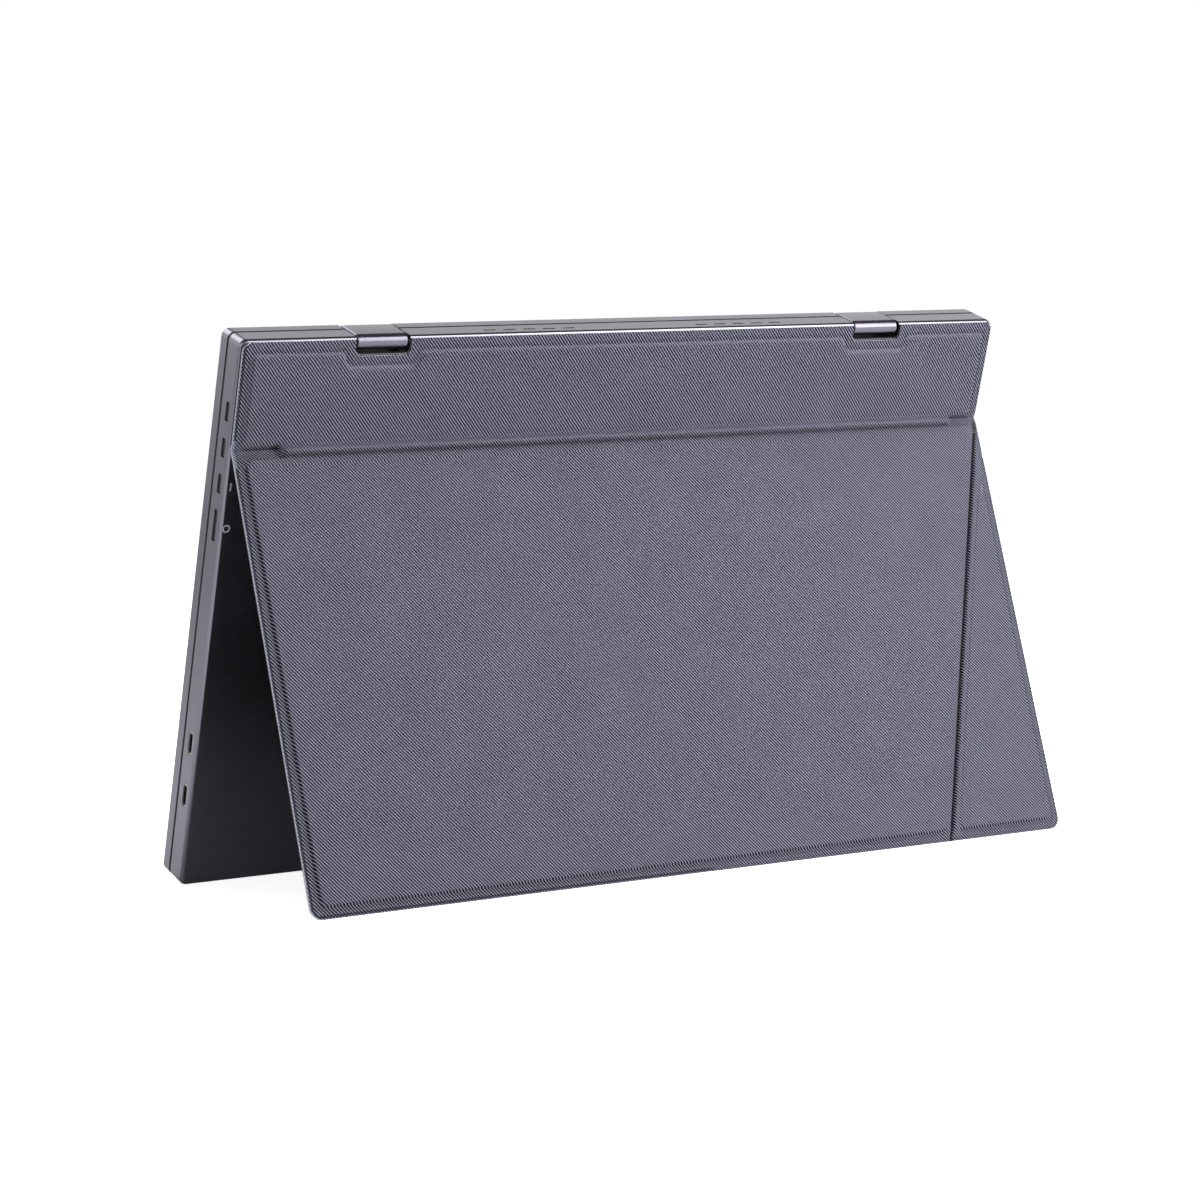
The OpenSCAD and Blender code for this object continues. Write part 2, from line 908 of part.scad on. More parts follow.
module base_hinge_brackets() {
  color("silver")
    on_slab()
      both_hinges()
        bracket();
}

module lid_hinge_brackets() {
  color("silver")
    on_lid()
      both_hinges()
        bracket();
}

module base_bracket_screws() {
  color("gray")
    on_slab()
      both_hinges()
        bracket_screws();
}

module lid_bracket_screws() {
  color("gray")
    on_lid()
      both_hinges()
        bracket_screws();
}

module base_hinge_shafts() {
  color("lightgray")
    on_slab()
      both_hinges()
        shaft();
}

module lid_hinge_shafts() {
  color("lightgray")
    on_lid()
      both_hinges()
        shaft();
}

module base_hinge_gears() {
  color("gold")
    on_slab()
      both_hinges()
        hinge_gear(axis_in, 0, shaft_r);
}

module idler_gears_rear() {
  color("goldenrod")
    on_slab()
      both_hinges()
        idler(axis_in + axis_span / 3, 0.5);
}

module idler_gears_front() {
  color("gold")
    on_slab()
      both_hinges()
        idler(axis_in + 2 * axis_span / 3, 0);
}

module lid_hinge_gears() {
  color("goldenrod")
    on_slab()
      both_hinges()
        hinge_gear(axis_lid, 0.5, shaft_r);
}

module left_hinge_cover() {
  color("gray")
    on_slab()
      translate([hinge_x, 0, 0])
        knuckle();
}

module right_hinge_cover() {
  color("gray")
    on_slab()
      translate([-hinge_x, 0, 0])
        knuckle();
}

module hinge_plates() {
  color("silver")
    on_slab()
      both_hinges()
        link_plates();
}

module friction_clips() {
  color("gray")
    on_slab()
      both_hinges()
        friction_clip();
}

// The cable runs along each hinge axis and crosses inside the left hinge cover
cable_in = knuckle_len / 2 + knuckle_gap / 2;
cable_back = knuckle_len / 2 - 5;

module hinge_cable() {
  color("black")
    on_slab()
      translate([hinge_x, axis_h, 0])
        cable_run([[cable_in, 0, axis_in], [cable_back, 0, axis_in], [cable_back, 0, axis_lid],
          [cable_in, 0, axis_lid]], cable_r);
}

cable_turn = notch_w / 2 + notch_wall + 3;

module base_cable() {
  color("black")
    on_slab()
      translate([hinge_x, 0, 0])
        cable_run([[cable_in, axis_h, axis_in], [cable_turn, axis_h, axis_in],
          [cable_turn, main_low + main_h, axis_in]], cable_r);
}

driver_low = panel_top - driver_h - 6;

module lid_cable() {
  color("black")
    on_lid()
      translate([hinge_x, 0, 0])
        cable_run([[cable_in, axis_h, axis_in], [cable_turn, axis_h, axis_in],
          [cable_turn, panel_top + 4, axis_in], [cable_turn, panel_top + 4, lid_back + cable_r + 0.05],
          [cable_turn, driver_low + driver_h, lid_back + cable_r + 0.05]], cable_r);
}

module driver_board() {
  color("darkgreen")
    on_lid()
      translate([hinge_x + cable_turn + 4 - driver_w, driver_low, lid_back + 0.1]) {
        cube([driver_w, driver_h, 0.6]);
        translate([0.3 * driver_w, 0.3 * driver_h, 0.55])
          cube([0.45 * driver_h, 0.45 * driver_h, 0.55]);
        translate([0.6 * driver_w, 0.4 * driver_h, 0.55])
          cube([0.3 * driver_h, 0.3 * driver_h, 0.5]);
      }
}

module base_magnets() {
  color("lightgray")
    on_slab()
      for (p = magnet_spots)
        translate([p[0], p[1], base_back])
          cylinder(r = magnet_r, h = magnet_thick);
}

module flap_magnets() {
  color("lightgray")
    on_flap()
      for (p = magnet_spots)
        translate([p[0], p[1], -cover_deep - magnet_thick])
          cylinder(r = magnet_r, h = magnet_thick);
}

// Small rubber pads on the bezel keep the two screens apart
module seam_pads() {
  color("black")
    on_slab()
      for (px = [-post_x, 0, post_x])
        translate([px, panel_lift, base_thick])
          linear_extrude(seam_gap - 0.05)
            round_rect(pad_len, pad_h, pad_h / 2 - 0.1);
}

// Printed ring and dash beside the buttons
module printed_marks() {
  color("white")
    on_slab() {
      translate([slab_width / 2 - 2.7, slab_height - long_drop, -0.05])
        linear_extrude(0.05)
          difference() {
            circle(1.6);
            circle(1.05);
          }
      translate([slab_width / 2 - 2.6, slab_height - button_first - 2 * button_step, -0.05])
        linear_extrude(0.05)
          square([0.6, 3.2], center = true);
    }
}

// Fabric outlines, drawn closed
module strip_outline() {
  difference() {
    union() {
      outline(2 * fabric_x, slab_height - cover_inset - 15, slab_height - cover_inset,
        corner_r - cover_inset);
      translate([-fabric_x, strip_low])
        square([2 * fabric_x, slab_height - strip_low - 5]);
    }
    notch_shape(notch_margin);
  }
}

// Whole flap with its corner, from the crease's lower side to the foot
module flap_outline() {
  outline(2 * fabric_x, flap_low, flap_low + 30, fabric_corner_r);
  translate([-fabric_x, flap_low + 15])
    square([2 * fabric_x, flap_top - flap_low - 15]);
}

// Half plane on the wing's side of the slanted crease, moved by d across it
module wing_side(d) {
  translate([-fabric_x, pivot_h])
    rotate([0, 0, wing_angle])
      translate([-400 + d, -400])
        square([400, 500]);
}

// A board's bevelled block, built from two outlines
module bevelled(low, high) {
  hull() {
    translate([0, 0, -low - fine])
      linear_extrude(fine)
        children(0);
    translate([0, 0, -high])
      linear_extrude(fine)
        children(1);
  }
}

module strip_block(grow, deep) {
  low = strip_low + 0.2 + grow;
  high = slab_height - cover_inset - cover_border - 0.8 - grow;
  difference() {
    bevelled(cover_deep, deep) {
      outline(2 * (board_x - grow), low, high, board_corner_r, $fn = 24);
      outline(2 * (board_x - grow - board_bevel), low + board_bevel / 2, high - board_bevel,
        board_corner_r, $fn = 24);
    }
    for (sx = [-1, 1])
      translate([sx * hinge_x, slab_height, 0])
        hull() {
          translate([0, 0, -cover_deep])
            linear_extrude(1)
              square([notch_w + 2 * (notch_margin + cover_border - 0.6 + grow),
                2 * (notch_depth + notch_margin + cover_border - 0.6 + grow)], center = true);
          translate([0, 0, -deep - 1])
            linear_extrude(1)
              square([notch_w + 2 * (notch_margin + cover_border - 0.6 + grow + board_bevel),
                2 * (notch_depth + notch_margin + cover_border - 0.6 + grow + board_bevel)], center = true);
        }
  }
}

module strip_lining() {
  color("black")
    on_slab()
      translate([0, 0, -cover_deep])
        linear_extrude(cover_deep)
          strip_outline();
}

module strip_board() {
  color("tan")
    on_slab()
      strip_block(fabric_thick, cover_deep + board_thick);
}

module strip_fabric() {
  color("slategray")
    on_slab()
      difference() {
        union() {
          translate([0, 0, -edge_deep])
            linear_extrude(fabric_thick)
              strip_outline();
          strip_block(0, full_deep);
        }
        strip_block(fabric_thick, cover_deep + board_thick);
      }
}

// Fabric between the strip and the flap: a bend about the crease and a pinched roll
module top_crease() {
  half = (edge_deep - cover_gap) / 2;
  color("slategray")
    on_slab()
      translate([0, pivot_h, -pivot_deep])
        rotate([0, -90, 180]) {
          linear_extrude(2 * fabric_x, center = true) {
            circle(half);
            translate([-half, -crease_above])
              square([2 * half, crease_above]);
            rotate([0, 0, fold_open])
              translate([-half, 0])
                square([2 * half, crease_below]);
          }
          linear_extrude(welt_len, center = true)
            difference() {
              translate([-welt_out, welt_down])
                circle(welt_r);
              translate([half, -5])
                square([10, 20]);
            }
        }
}

module flap_half_outline(d) {
  difference() {
    flap_outline();
    wing_side(d);
  }
}

module flap_lining() {
  color("black")
    on_flap()
      translate([0, 0, -cover_deep])
        linear_extrude(lining_thick)
          flap_half_outline(wing_half);
}

// Corner points of the main board: the slanted side follows the crease
function crease_x(y, d) = -fabric_x + (pivot_h - y) * wing_run + d * wing_slant;

module flap_board_shape(grow) {
  y0 = flap_low + cover_border + grow;
  y1 = flap_top - 0.2 - grow;
  x1 = board_x - grow;
  r = board_corner_r;
  d = wing_half + 0.4 + grow;
  xa = crease_x(y1 - r, d + r);
  xb = crease_x(y0 + r, d + r);
  hull() {
    translate([x1 - r, y1 - r])
      circle(r, $fn = 24);
    translate([x1 - r, y0 + r])
      circle(r, $fn = 24);
    translate([max(xa, -board_x + grow + r), y1 - r])
      circle(r, $fn = 24);
    translate([xb, y0 + r])
      circle(r, $fn = 24);
  }
}

module flap_block(grow, deep) {
  bevelled(cover_deep, deep) {
    flap_board_shape(grow);
    flap_board_shape(grow + board_bevel);
  }
}

module flap_board() {
  color("tan")
    on_flap()
      difference() {
        flap_block(fabric_thick, cover_deep + board_thick);
        for (p = magnet_spots)
          translate([p[0], p[1], -cover_deep - magnet_thick])
            cylinder(r = magnet_r + 0.1, h = 5);
      }
}

module flap_fabric() {
  color("slategray")
    on_flap()
      difference() {
        union() {
          translate([0, 0, -edge_deep])
            linear_extrude(fabric_thick)
              flap_half_outline(wing_half);
          flap_block(0, full_deep);
        }
        flap_block(fabric_thick, cover_deep + board_thick);
      }
}

// Board-free fabric along the slanted crease, with a round cord of it on the fold line
module wing_crease() {
  color("slategray")
    on_flap() {
      translate([0, 0, -edge_deep])
        linear_extrude(edge_deep - cover_gap)
          difference() {
            intersection() {
              flap_outline();
              wing_side(wing_half);
            }
            wing_side(-wing_half);
          }
      intersection() {
        translate([0, 0, -edge_deep - 1])
          linear_extrude(edge_deep + 2)
            flap_outline();
        translate([-fabric_x, pivot_h, -pivot_deep])
          rotate([90, 0, wing_angle])
            cylinder(r = bead_r, h = 2 * flap_len);
      }
    }
}

module wing_outline() {
  intersection() {
    flap_outline();
    wing_side(-wing_half);
  }
}

module wing_board_shape(grow) {
  y0 = flap_low + cover_border + grow;
  x1 = -board_x + grow - 0.2;
  r = board_corner_r;
  d = -wing_half - 0.4 - grow;
  tip_x = x1 + 0.6 * r;
  tip = pivot_h - (tip_x + fabric_x - (d - 0.6 * r) * wing_slant) / wing_run;
  hull() {
    translate([x1 + r, y0 + r])
      circle(r, $fn = 24);
    translate([crease_x(y0 + r, d - r), y0 + r])
      circle(r, $fn = 24);
    translate([tip_x, tip])
      circle(0.6 * r, $fn = 24);
  }
}

module wing_block(grow, deep) {
  bevelled(cover_deep, deep) {
    wing_board_shape(grow);
    wing_board_shape(grow + board_bevel);
  }
}

module wing_lining() {
  color("black")
    on_flap()
      translate([0, 0, -cover_deep])
        linear_extrude(lining_thick)
          wing_outline();
}

module wing_board() {
  color("tan")
    on_flap()
      wing_block(fabric_thick, cover_deep + board_thick);
}

module wing_fabric() {
  color("slategray")
    on_flap()
      difference() {
        union() {
          translate([0, 0, -edge_deep])
            linear_extrude(fabric_thick)
              wing_outline();
          wing_block(0, full_deep);
        }
        wing_block(fabric_thick, cover_deep + board_thick);
      }
}

base_shell();
base_bezel();
base_screen();
base_backlight();
base_frame();
base_frame_screws();
main_board();
board_chips();
port_shells();
port_tongues();
button_board();
button_switches();
speakers();
base_hinge_brackets();
base_bracket_screws();
base_hinge_shafts();
base_hinge_gears();
base_cable();
base_magnets();
seam_pads();
printed_marks();
strip_lining();
strip_board();
strip_fabric();
top_crease();
left_hinge_cover();
right_hinge_cover();
hinge_plates();
friction_clips();
hinge_cable();
idler_gears_rear();
idler_gears_front();
lid_shell();
lid_bezel();
lid_screen();
lid_backlight();
lid_frame();
lid_frame_screws();
driver_board();
lid_hinge_brackets();
lid_bracket_screws();
lid_hinge_shafts();
lid_hinge_gears();
lid_cable();
flap_lining();
flap_board();
flap_fabric();
flap_magnets();
wing_crease();
wing_lining();
wing_board();
wing_fabric();
key_1();
key_2();
key_3();
key_long();
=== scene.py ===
# %% [markdown]
# # A folding portable monitor with a fabric stand cover
#
# The real object is two thin screens, closed face to face like a book and joined
# along the top by two geared hinges. A twill cover is glued to the rear slab. Its
# lower part swings out as a stand, so the whole thing stands like a tent.
# The exact hard parts come from the CAD model, as a fixed frame. This script gives
# them their finishes, and makes the soft cover, the hinge covers and small details
# as new surfaces.

import math

import bpy
import numpy as np
from mathutils import Matrix


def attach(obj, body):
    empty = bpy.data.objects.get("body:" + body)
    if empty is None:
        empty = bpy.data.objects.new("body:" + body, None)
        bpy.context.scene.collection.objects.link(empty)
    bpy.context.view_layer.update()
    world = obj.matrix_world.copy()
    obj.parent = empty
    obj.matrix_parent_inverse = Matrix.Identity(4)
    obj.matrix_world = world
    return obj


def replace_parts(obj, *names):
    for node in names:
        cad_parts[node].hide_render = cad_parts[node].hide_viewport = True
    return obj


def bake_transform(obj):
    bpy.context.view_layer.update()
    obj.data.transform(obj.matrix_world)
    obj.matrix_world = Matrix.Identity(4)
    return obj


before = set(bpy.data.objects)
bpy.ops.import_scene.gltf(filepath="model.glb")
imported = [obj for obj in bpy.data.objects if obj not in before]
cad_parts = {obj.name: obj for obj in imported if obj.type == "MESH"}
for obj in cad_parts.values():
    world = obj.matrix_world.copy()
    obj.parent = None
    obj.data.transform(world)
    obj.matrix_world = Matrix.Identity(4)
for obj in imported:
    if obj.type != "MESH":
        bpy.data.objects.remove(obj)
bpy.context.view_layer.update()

# %% [markdown]
# ## Where things are
#
# Every size below is one of the CAD model's own, in millimetres. "Slab space" has x
# across, y up the slab from its standing edge, and depth outwards from its back
# face, towards the cover. One function leans that space back and drops it on the
# floor, and a second one swings the stand flap out about its crease first.

# %% Sizes in millimetres and the two placing functions
LEAN = math.radians(17.5)
FOLD = math.radians(34.872476)
SHIFT_Y, LIFT = -47.066387, 0.381634
SLAB_W, SLAB_H, BASE_T, SEAM, LID_T = 358.0, 225.0, 10.0, 0.7, 6.2
PIVOT_H, PIVOT_DEEP = 181.5, 0.55
FABRIC_X, BOARD_X, FOOT_Y = 178.3, 174.3, 0.7
STRIP_LOW, FLAP_TOP = PIVOT_H + 1.5, PIVOT_H - 3.2
FOLD_UP, FOLD_DOWN, SLANT_HALF = 4.0, 7.0, 5.5
FABRIC_TOP = SLAB_H - 0.7
CORNER_R = 3.2
CLOTH, EDGE_DEEP, BOARD_RISE = 0.6, 1.0, 1.2
HINGE_X, NOTCH_W, NOTCH_DROP = 117.75, 23.7, 6.9
WING_HALF, WING_RUN = 2.2, 58.5 / 180.8
WING_ANGLE = math.atan(WING_RUN)
WING_SLANT = 1 / math.cos(WING_ANGLE)


def slab_space(x, y, deep):
    """Turn slab space into world metres: lean the slab back by its angle, then shift it to its place."""
    x, y, deep = np.broadcast_arrays(x, y, deep)
    across = y * math.sin(LEAN) + deep * math.cos(LEAN) + SHIFT_Y
    up = y * math.cos(LEAN) - deep * math.sin(LEAN) - LIFT
    return np.stack([x, across, up], -1) / 1000


def flap_space(x, y, deep):
    """Swing a point of the closed flap out about the crease by the fold angle, then place it as slab space."""
    x, y, deep = np.broadcast_arrays(x, y, deep)
    along, out = y - PIVOT_H, PIVOT_DEEP - deep
    turned = along * math.cos(FOLD) - out * math.sin(FOLD)
    raised = along * math.sin(FOLD) + out * math.cos(FOLD)
    return slab_space(x, PIVOT_H + turned, PIVOT_DEEP - raised)


def crease_x(y, d):
    """x of the slanted crease at height y, moved by d millimetres square to the crease."""
    return -FABRIC_X + (PIVOT_H - y) * WING_RUN + d * WING_SLANT


# %% [markdown]
# ## The camera
#
# The photograph is taken from behind and a little above, from about 1.5 m away with
# a long lens. The camera's place and three angles are set as numbers, and its axes
# are worked out from them: forward from turn and tilt, right square to forward and
# up, and then both turned by the small roll.

# %% Camera
def look(turn, tilt, roll):
    """Camera axes from three angles in degrees, as a rotation matrix with right, up and backward as columns."""
    a, b, c = (math.radians(v) for v in (turn, tilt, roll))
    forward = np.array([math.sin(a) * math.cos(b), math.cos(a) * math.cos(b), math.sin(b)])
    right = np.cross(forward, [0, 0, 1.0])
    right /= np.linalg.norm(right)
    up = np.cross(right, forward)
    turned_right = right * math.cos(c) + up * math.sin(c)
    turned_up = -right * math.sin(c) + up * math.cos(c)
    return np.stack([turned_right, turned_up, -forward], 1)


# The fitted camera. Its focal length is in pixels of a frame 1200 pixels wide
CAMERA_MM, CAMERA_ANGLES = (788.944, 1226.012, 224.571), (212.445, -4.71, -1.309)
FOCAL_PX, FRAME_PX, SENSOR_MM = 3587.36, 1200, 36
camera = bpy.data.objects.new("camera", bpy.data.cameras.new("camera"))
bpy.context.scene.collection.objects.link(camera)
pose = np.eye(4)
pose[:3, :3] = look(*CAMERA_ANGLES)
pose[:3, 3] = np.array(CAMERA_MM) / 1000
camera.matrix_world = Matrix(pose.tolist())
camera.data.sensor_width = SENSOR_MM
camera.data.lens = SENSOR_MM * FOCAL_PX / FRAME_PX
camera.data.clip_start = 0.05
bpy.context.scene.camera = camera
print("lens in mm:", round(camera.data.lens, 1))

# %% [markdown]
# ## Three small helpers for finishes
#
# A finish is a graph of shader nodes. One helper turns a colour written as on the web
# (sRGB hex) into the linear numbers that a shader needs. One adds any node, with its
# settings and links. The third is the one pattern that most finishes share: an uneven
# grain of a real size, read on Object coordinates so that it stays with the piece.

# %% Colour helper, node helper and grain
def linear(code):
    """sRGB hex to linear: below 0.04045 divide by 12.92, above it ((c + 0.055) / 1.055) to the power 2.4."""
    c = np.array([int(code[i : i + 2], 16) / 255 for i in (1, 3, 5)])
    c = np.where(c <= 0.04045, c / 12.92, ((c + 0.055) / 1.055) ** 2.4)
    return (*[float(v) for v in c], 1.0)


def add(tree, kind, links=None, stops=None, **settings):
    """Add one node: settings are its properties, stops colour its ramp, and links feed its inputs.

    Each input gets a plain value, a node's first output or a socket.
    """
    made = tree.nodes.new(kind)
    for key, value in settings.items():
        setattr(made, key, value)
    for key, value in (links or {}).items():
        if isinstance(value, bpy.types.Node):
            value = value.outputs[0]
        if isinstance(value, bpy.types.NodeSocket):
            tree.links.new(value, made.inputs[key])
        else:
            made.inputs[key].default_value = value
    if stops:
        for element, (place, code) in zip(made.color_ramp.elements, stops):
            element.position, element.color = place, linear(code)
    return made


def blank(name):
    """A new material with an empty graph."""
    made = bpy.data.materials.new(name)
    made.use_nodes = True
    made.node_tree.nodes.clear()
    return made, made.node_tree


def grain(tree, size_mm, detail=2.0, stretch=(1, 1, 1)):
    """Noise with lumps of the given size: its scale is 1 over the size in metres, stretched on each axis."""
    place = add(tree, "ShaderNodeTexCoord").outputs["Object"]
    sized = add(tree, "ShaderNodeMapping", {"Vector": place, "Scale": stretch})
    return add(tree, "ShaderNodeTexNoise", {"Vector": sized, "Scale": 1000 / size_mm, "Detail": detail})


# %% [markdown]
# ## Twill cloth
#
# The cover is polyester twill in dark and light grey yarn, bonded to a stiff board.
# In twill each thread steps over by one at every row, so the cloth shows slanted
# ribs, light on top and nearly black between. On the real cover the ribs are 1.05 mm
# apart and run at 49 degrees, coarse enough to draw at true size. The pattern lies on
# the piece's own UV map, in metres along the cloth, so that it follows the folds. Each
# piece also carries a colour attribute that is above 0 along a cut edge, where pale
# ends show. The same attribute paints light: below 0 it is painted shade where the
# cloth is pressed into a groove or folded, above 0 elsewhere a painted highlight on
# the boards' rims and on the welt's top.

# %% Twill cloth finish
RIB_MM, RIB_ANGLE = 1.05, math.radians(-40.6)
RIB_STEEP, RIB_SHARE = 1.6, 0.14


def twill(name, dark, light, rib_mm=RIB_MM, depth_mm=0.16):
    """Rib height: a cosine of the place across the ribs, made steep and clipped, so that ribs and gaps are flat.

    Thread height: a cosine along the rib, half a step on from rib to rib. The two are multiplied.
    """
    made, tree = blank(name)
    uv = add(tree, "ShaderNodeUVMap", uv_map="cloth")
    # The yarn wanders by up to 0.2 mm, so that the ribs aren't ruled lines
    wander = add(tree, "ShaderNodeTexNoise", {"Vector": uv, "Scale": 260.0, "Detail": 2.0}).outputs["Color"]
    centred = add(tree, "ShaderNodeVectorMath", {0: wander, 1: (0.5, 0.5, 0.5)}, operation="SUBTRACT")
    uneven = add(tree, "ShaderNodeVectorMath", {0: centred, 1: (0.0004, 0.0004, 0.0)}, operation="MULTIPLY")
    moved = add(tree, "ShaderNodeVectorMath", {0: uv, 1: uneven}, operation="ADD")
    k = 1000 / rib_mm
    c, s = math.cos(RIB_ANGLE) * k, math.sin(RIB_ANGLE) * k
    across, along = [
        add(tree, "ShaderNodeVectorMath", {0: moved, 1: way}, operation="DOT_PRODUCT").outputs["Value"]
        for way in ((c, s, 0), (-s, c, 0))
    ]
    turn = add(tree, "ShaderNodeMath", {0: across, 1: 2 * math.pi}, operation="MULTIPLY")
    wave = add(tree, "ShaderNodeMath", {0: turn}, operation="COSINE")
    steep = {0: wave, 1: RIB_STEEP, 2: RIB_SHARE}
    rib = add(tree, "ShaderNodeMath", steep, operation="MULTIPLY_ADD", use_clamp=True)
    row = add(tree, "ShaderNodeMath", {0: across}, operation="FLOOR")
    step = add(tree, "ShaderNodeMath", {0: row, 1: 0.5}, operation="MULTIPLY")
    place = add(tree, "ShaderNodeMath", {0: along, 1: 1.15, 2: step}, operation="MULTIPLY_ADD")
    turn = add(tree, "ShaderNodeMath", {0: place, 1: 2 * math.pi}, operation="MULTIPLY")
    wave = add(tree, "ShaderNodeMath", {0: turn}, operation="COSINE")
    thread = add(tree, "ShaderNodeMath", {0: wave, 1: 0.3, 2: 0.7}, operation="MULTIPLY_ADD")
    height = add(tree, "ShaderNodeMath", {0: rib, 1: thread}, operation="MULTIPLY")
    # Single yarns differ in shade, and so do patches of some 20 mm where the cloth was handled
    yarn = add(tree, "ShaderNodeTexNoise", {"Vector": uv, "Scale": 1700.0, "Detail": 1.0})
    patch = add(tree, "ShaderNodeTexNoise", {"Vector": uv, "Scale": 45.0, "Detail": 3.0})
    tone = add(tree, "ShaderNodeMath", {0: yarn, 1: 0.34, 2: height}, operation="MULTIPLY_ADD")
    tone = add(tree, "ShaderNodeMath", {0: patch, 1: 0.1, 2: tone}, operation="MULTIPLY_ADD")
    # Colour attribute of each piece: pale yarn ends at cut edges, painted shade in grooves and folds, painted
    # highlights on board rims and the welt's top
    tint_and_painted_light = add(tree, "ShaderNodeAttribute", attribute_name="tint_and_painted_light").outputs["Fac"]
    tone = add(tree, "ShaderNodeMath", {0: tint_and_painted_light, 1: 0.8, 2: tone}, operation="MULTIPLY_ADD")
    colour = add(tree, "ShaderNodeValToRGB", {"Fac": tone}, [(0.2, dark), (0.96, light)])
    depth = add(tree, "ShaderNodeMath", {0: yarn, 1: 0.15, 2: height}, operation="MULTIPLY_ADD")
    relief = add(tree, "ShaderNodeBump", {"Height": depth, "Distance": depth_mm / 1000})
    links = {"Base Color": colour, "Normal": relief, "Roughness": 0.85, "Specular IOR Level": 0.25}
    shader = add(tree, "ShaderNodeBsdfPrincipled", links | {"Sheen Weight": 0.1, "Sheen Roughness": 0.4})
    add(tree, "ShaderNodeOutputMaterial", {"Surface": shader})
    return made


cover_twill = twill("polyester twill, dark grey", "#0A0A10", "#87889C")
cut_edge = twill("cut edge of the twill, light threads", "#8A8A92", "#E0E0E6", rib_mm=0.8, depth_mm=0.2)

# %% [markdown]
# ## Lining
#
# The inner face of the cover is black brushed microfibre. It has no visible threads,
# only a short uneven nap that scatters light and looks charcoal. Fine noise sets its
# colour and its relief, and a little sheen stands for fibres that catch the light.

# %% Microfibre lining finish
def microfibre():
    """Nap of 0.5 mm lumps times soft 12 mm patches, as where a hand has brushed it."""
    made, tree = blank("brushed microfibre, black")
    nap, brushed = grain(tree, 0.5), grain(tree, 12, 3.0)
    both = add(tree, "ShaderNodeMath", {0: nap, 1: brushed}, operation="MULTIPLY")
    colour = add(tree, "ShaderNodeValToRGB", {"Fac": both}, [(0.1, "#2E2E35"), (0.5, "#4E4E58")])
    relief = add(tree, "ShaderNodeBump", {"Height": nap, "Distance": 0.00012})
    links = {"Base Color": colour, "Normal": relief, "Roughness": 0.95}
    shader = add(tree, "ShaderNodeBsdfPrincipled", links | {"Sheen Weight": 0.3, "Sheen Roughness": 0.5})
    add(tree, "ShaderNodeOutputMaterial", {"Surface": shader})
    return made


lining_cloth = microfibre()

# %% [markdown]
# ## Metal finishes
#
# The slabs are aluminium, blasted with fine beads and then anodised dark grey with a
# slight violet tint. Blasting leaves a satin surface with a grain too fine to see
# (about 0.1 mm), so it is drawn at 0.35 mm. Handling has polished the outer edges a
# little, and they catch the light as fine bright lines. The hinge covers are smoother,
# and the inner parts are plain or plated steel.

# %% Metal finishes
def grained(name, dark, light, rough, drift_mm, mark_mm, depth_mm, stretch=(1, 1, 1), **more):
    """Base colour drifts between two close tones; roughness and relief follow the marks of tool, beads or mould."""
    made, tree = blank(name)
    drift, marks = grain(tree, drift_mm, 2.0, stretch), grain(tree, mark_mm, 3.0, stretch)
    colour = add(tree, "ShaderNodeValToRGB", {"Fac": drift}, [(0.3, dark), (0.7, light)])
    uneven = add(tree, "ShaderNodeMapRange", {"Value": marks, "To Min": rough[0], "To Max": rough[1]})
    relief = add(tree, "ShaderNodeBump", {"Height": marks, "Distance": depth_mm / 1000})
    links = {"Base Color": colour, "Roughness": uneven, "Normal": relief}
    shader = add(tree, "ShaderNodeBsdfPrincipled", links | more)
    add(tree, "ShaderNodeOutputMaterial", {"Surface": shader})
    return made


def metal(name, dark, light, low, high, drift_mm, mark_mm, depth_mm, stretch=(1, 1, 1)):
    """A bare or anodised metal, whose roughness goes from low to high."""
    return grained(name, dark, light, (low, high), drift_mm, mark_mm, depth_mm, stretch, Metallic=1.0)


# Rolling and drawing leave fine lines along x: the grain is stretched 25 times that way
LINES = (0.04, 1, 1)
anodised = metal("aluminium, bead blasted and anodised dark grey", "#7A7882", "#807E89", 0.24, 0.34, 60, 0.35, 0.003)
hinge_satin = metal("hinge aluminium, satin anodised", "#67646E", "#6C6973", 0.2, 0.27, 40, 0.3, 0.0008)
plain_steel = metal("spring steel, plain", "#A9A9AC", "#BDBDC0", 0.28, 0.4, 4, 0.25, 0.004, LINES)
zinc_steel = metal("screw steel, zinc plated", "#85868A", "#9B9CA0", 0.3, 0.42, 3, 0.15, 0.004, LINES)
nickel = metal("stamped steel, nickel plated", "#C9C6C0", "#DAD7D1", 0.14, 0.22, 4, 0.2, 0.003, LINES)
mill_sheet = metal("aluminium sheet, mill finish", "#B5B5B8", "#C9C9CC", 0.3, 0.42, 8, 0.4, 0.004, LINES)

# %% [markdown]
# ## Plastics, rubber, glass and ink
#
# Moulded ABS has a fine spark-eroded texture, silicone pads are smoother and softer,
# and the screens are glass with an etched anti-glare face over a black panel. All of
# them are plain dielectrics, so one function makes them with a different grain.

# %% Plastic, rubber, glass, board and ink finishes
def moulded(name, dark, light, rough, grain_mm, depth_mm, ior=1.5, coat=0.0):
    """A plastic, rubber or glass: the grain has the given size, and its tone drifts over 25 mm."""
    more = {"IOR": ior, "Coat Weight": coat, "Coat Roughness": 0.2}
    return grained(name, dark, light, (rough - 0.05, rough + 0.05), 25, grain_mm, depth_mm, **more)


def solder_mask():
    """Green lacquer over copper tracks: brick joints 3.1 by 1.6 mm apart stand for the tracks' raised lines."""
    made, tree = blank("circuit board, green solder mask")
    place = add(tree, "ShaderNodeTexCoord").outputs["Object"]
    tracks = add(tree, "ShaderNodeTexBrick", {"Vector": place, "Scale": 160.0, "Mortar Size": 0.03}).outputs["Fac"]
    colour = add(tree, "ShaderNodeValToRGB", {"Fac": tracks}, [(0.0, "#14502F"), (1.0, "#2C7A4B")])
    relief = add(tree, "ShaderNodeBump", {"Height": tracks, "Distance": 0.00003})
    shader = add(tree, "ShaderNodeBsdfPrincipled", {"Base Color": colour, "Normal": relief, "Roughness": 0.35})
    add(tree, "ShaderNodeOutputMaterial", {"Surface": shader})
    return made


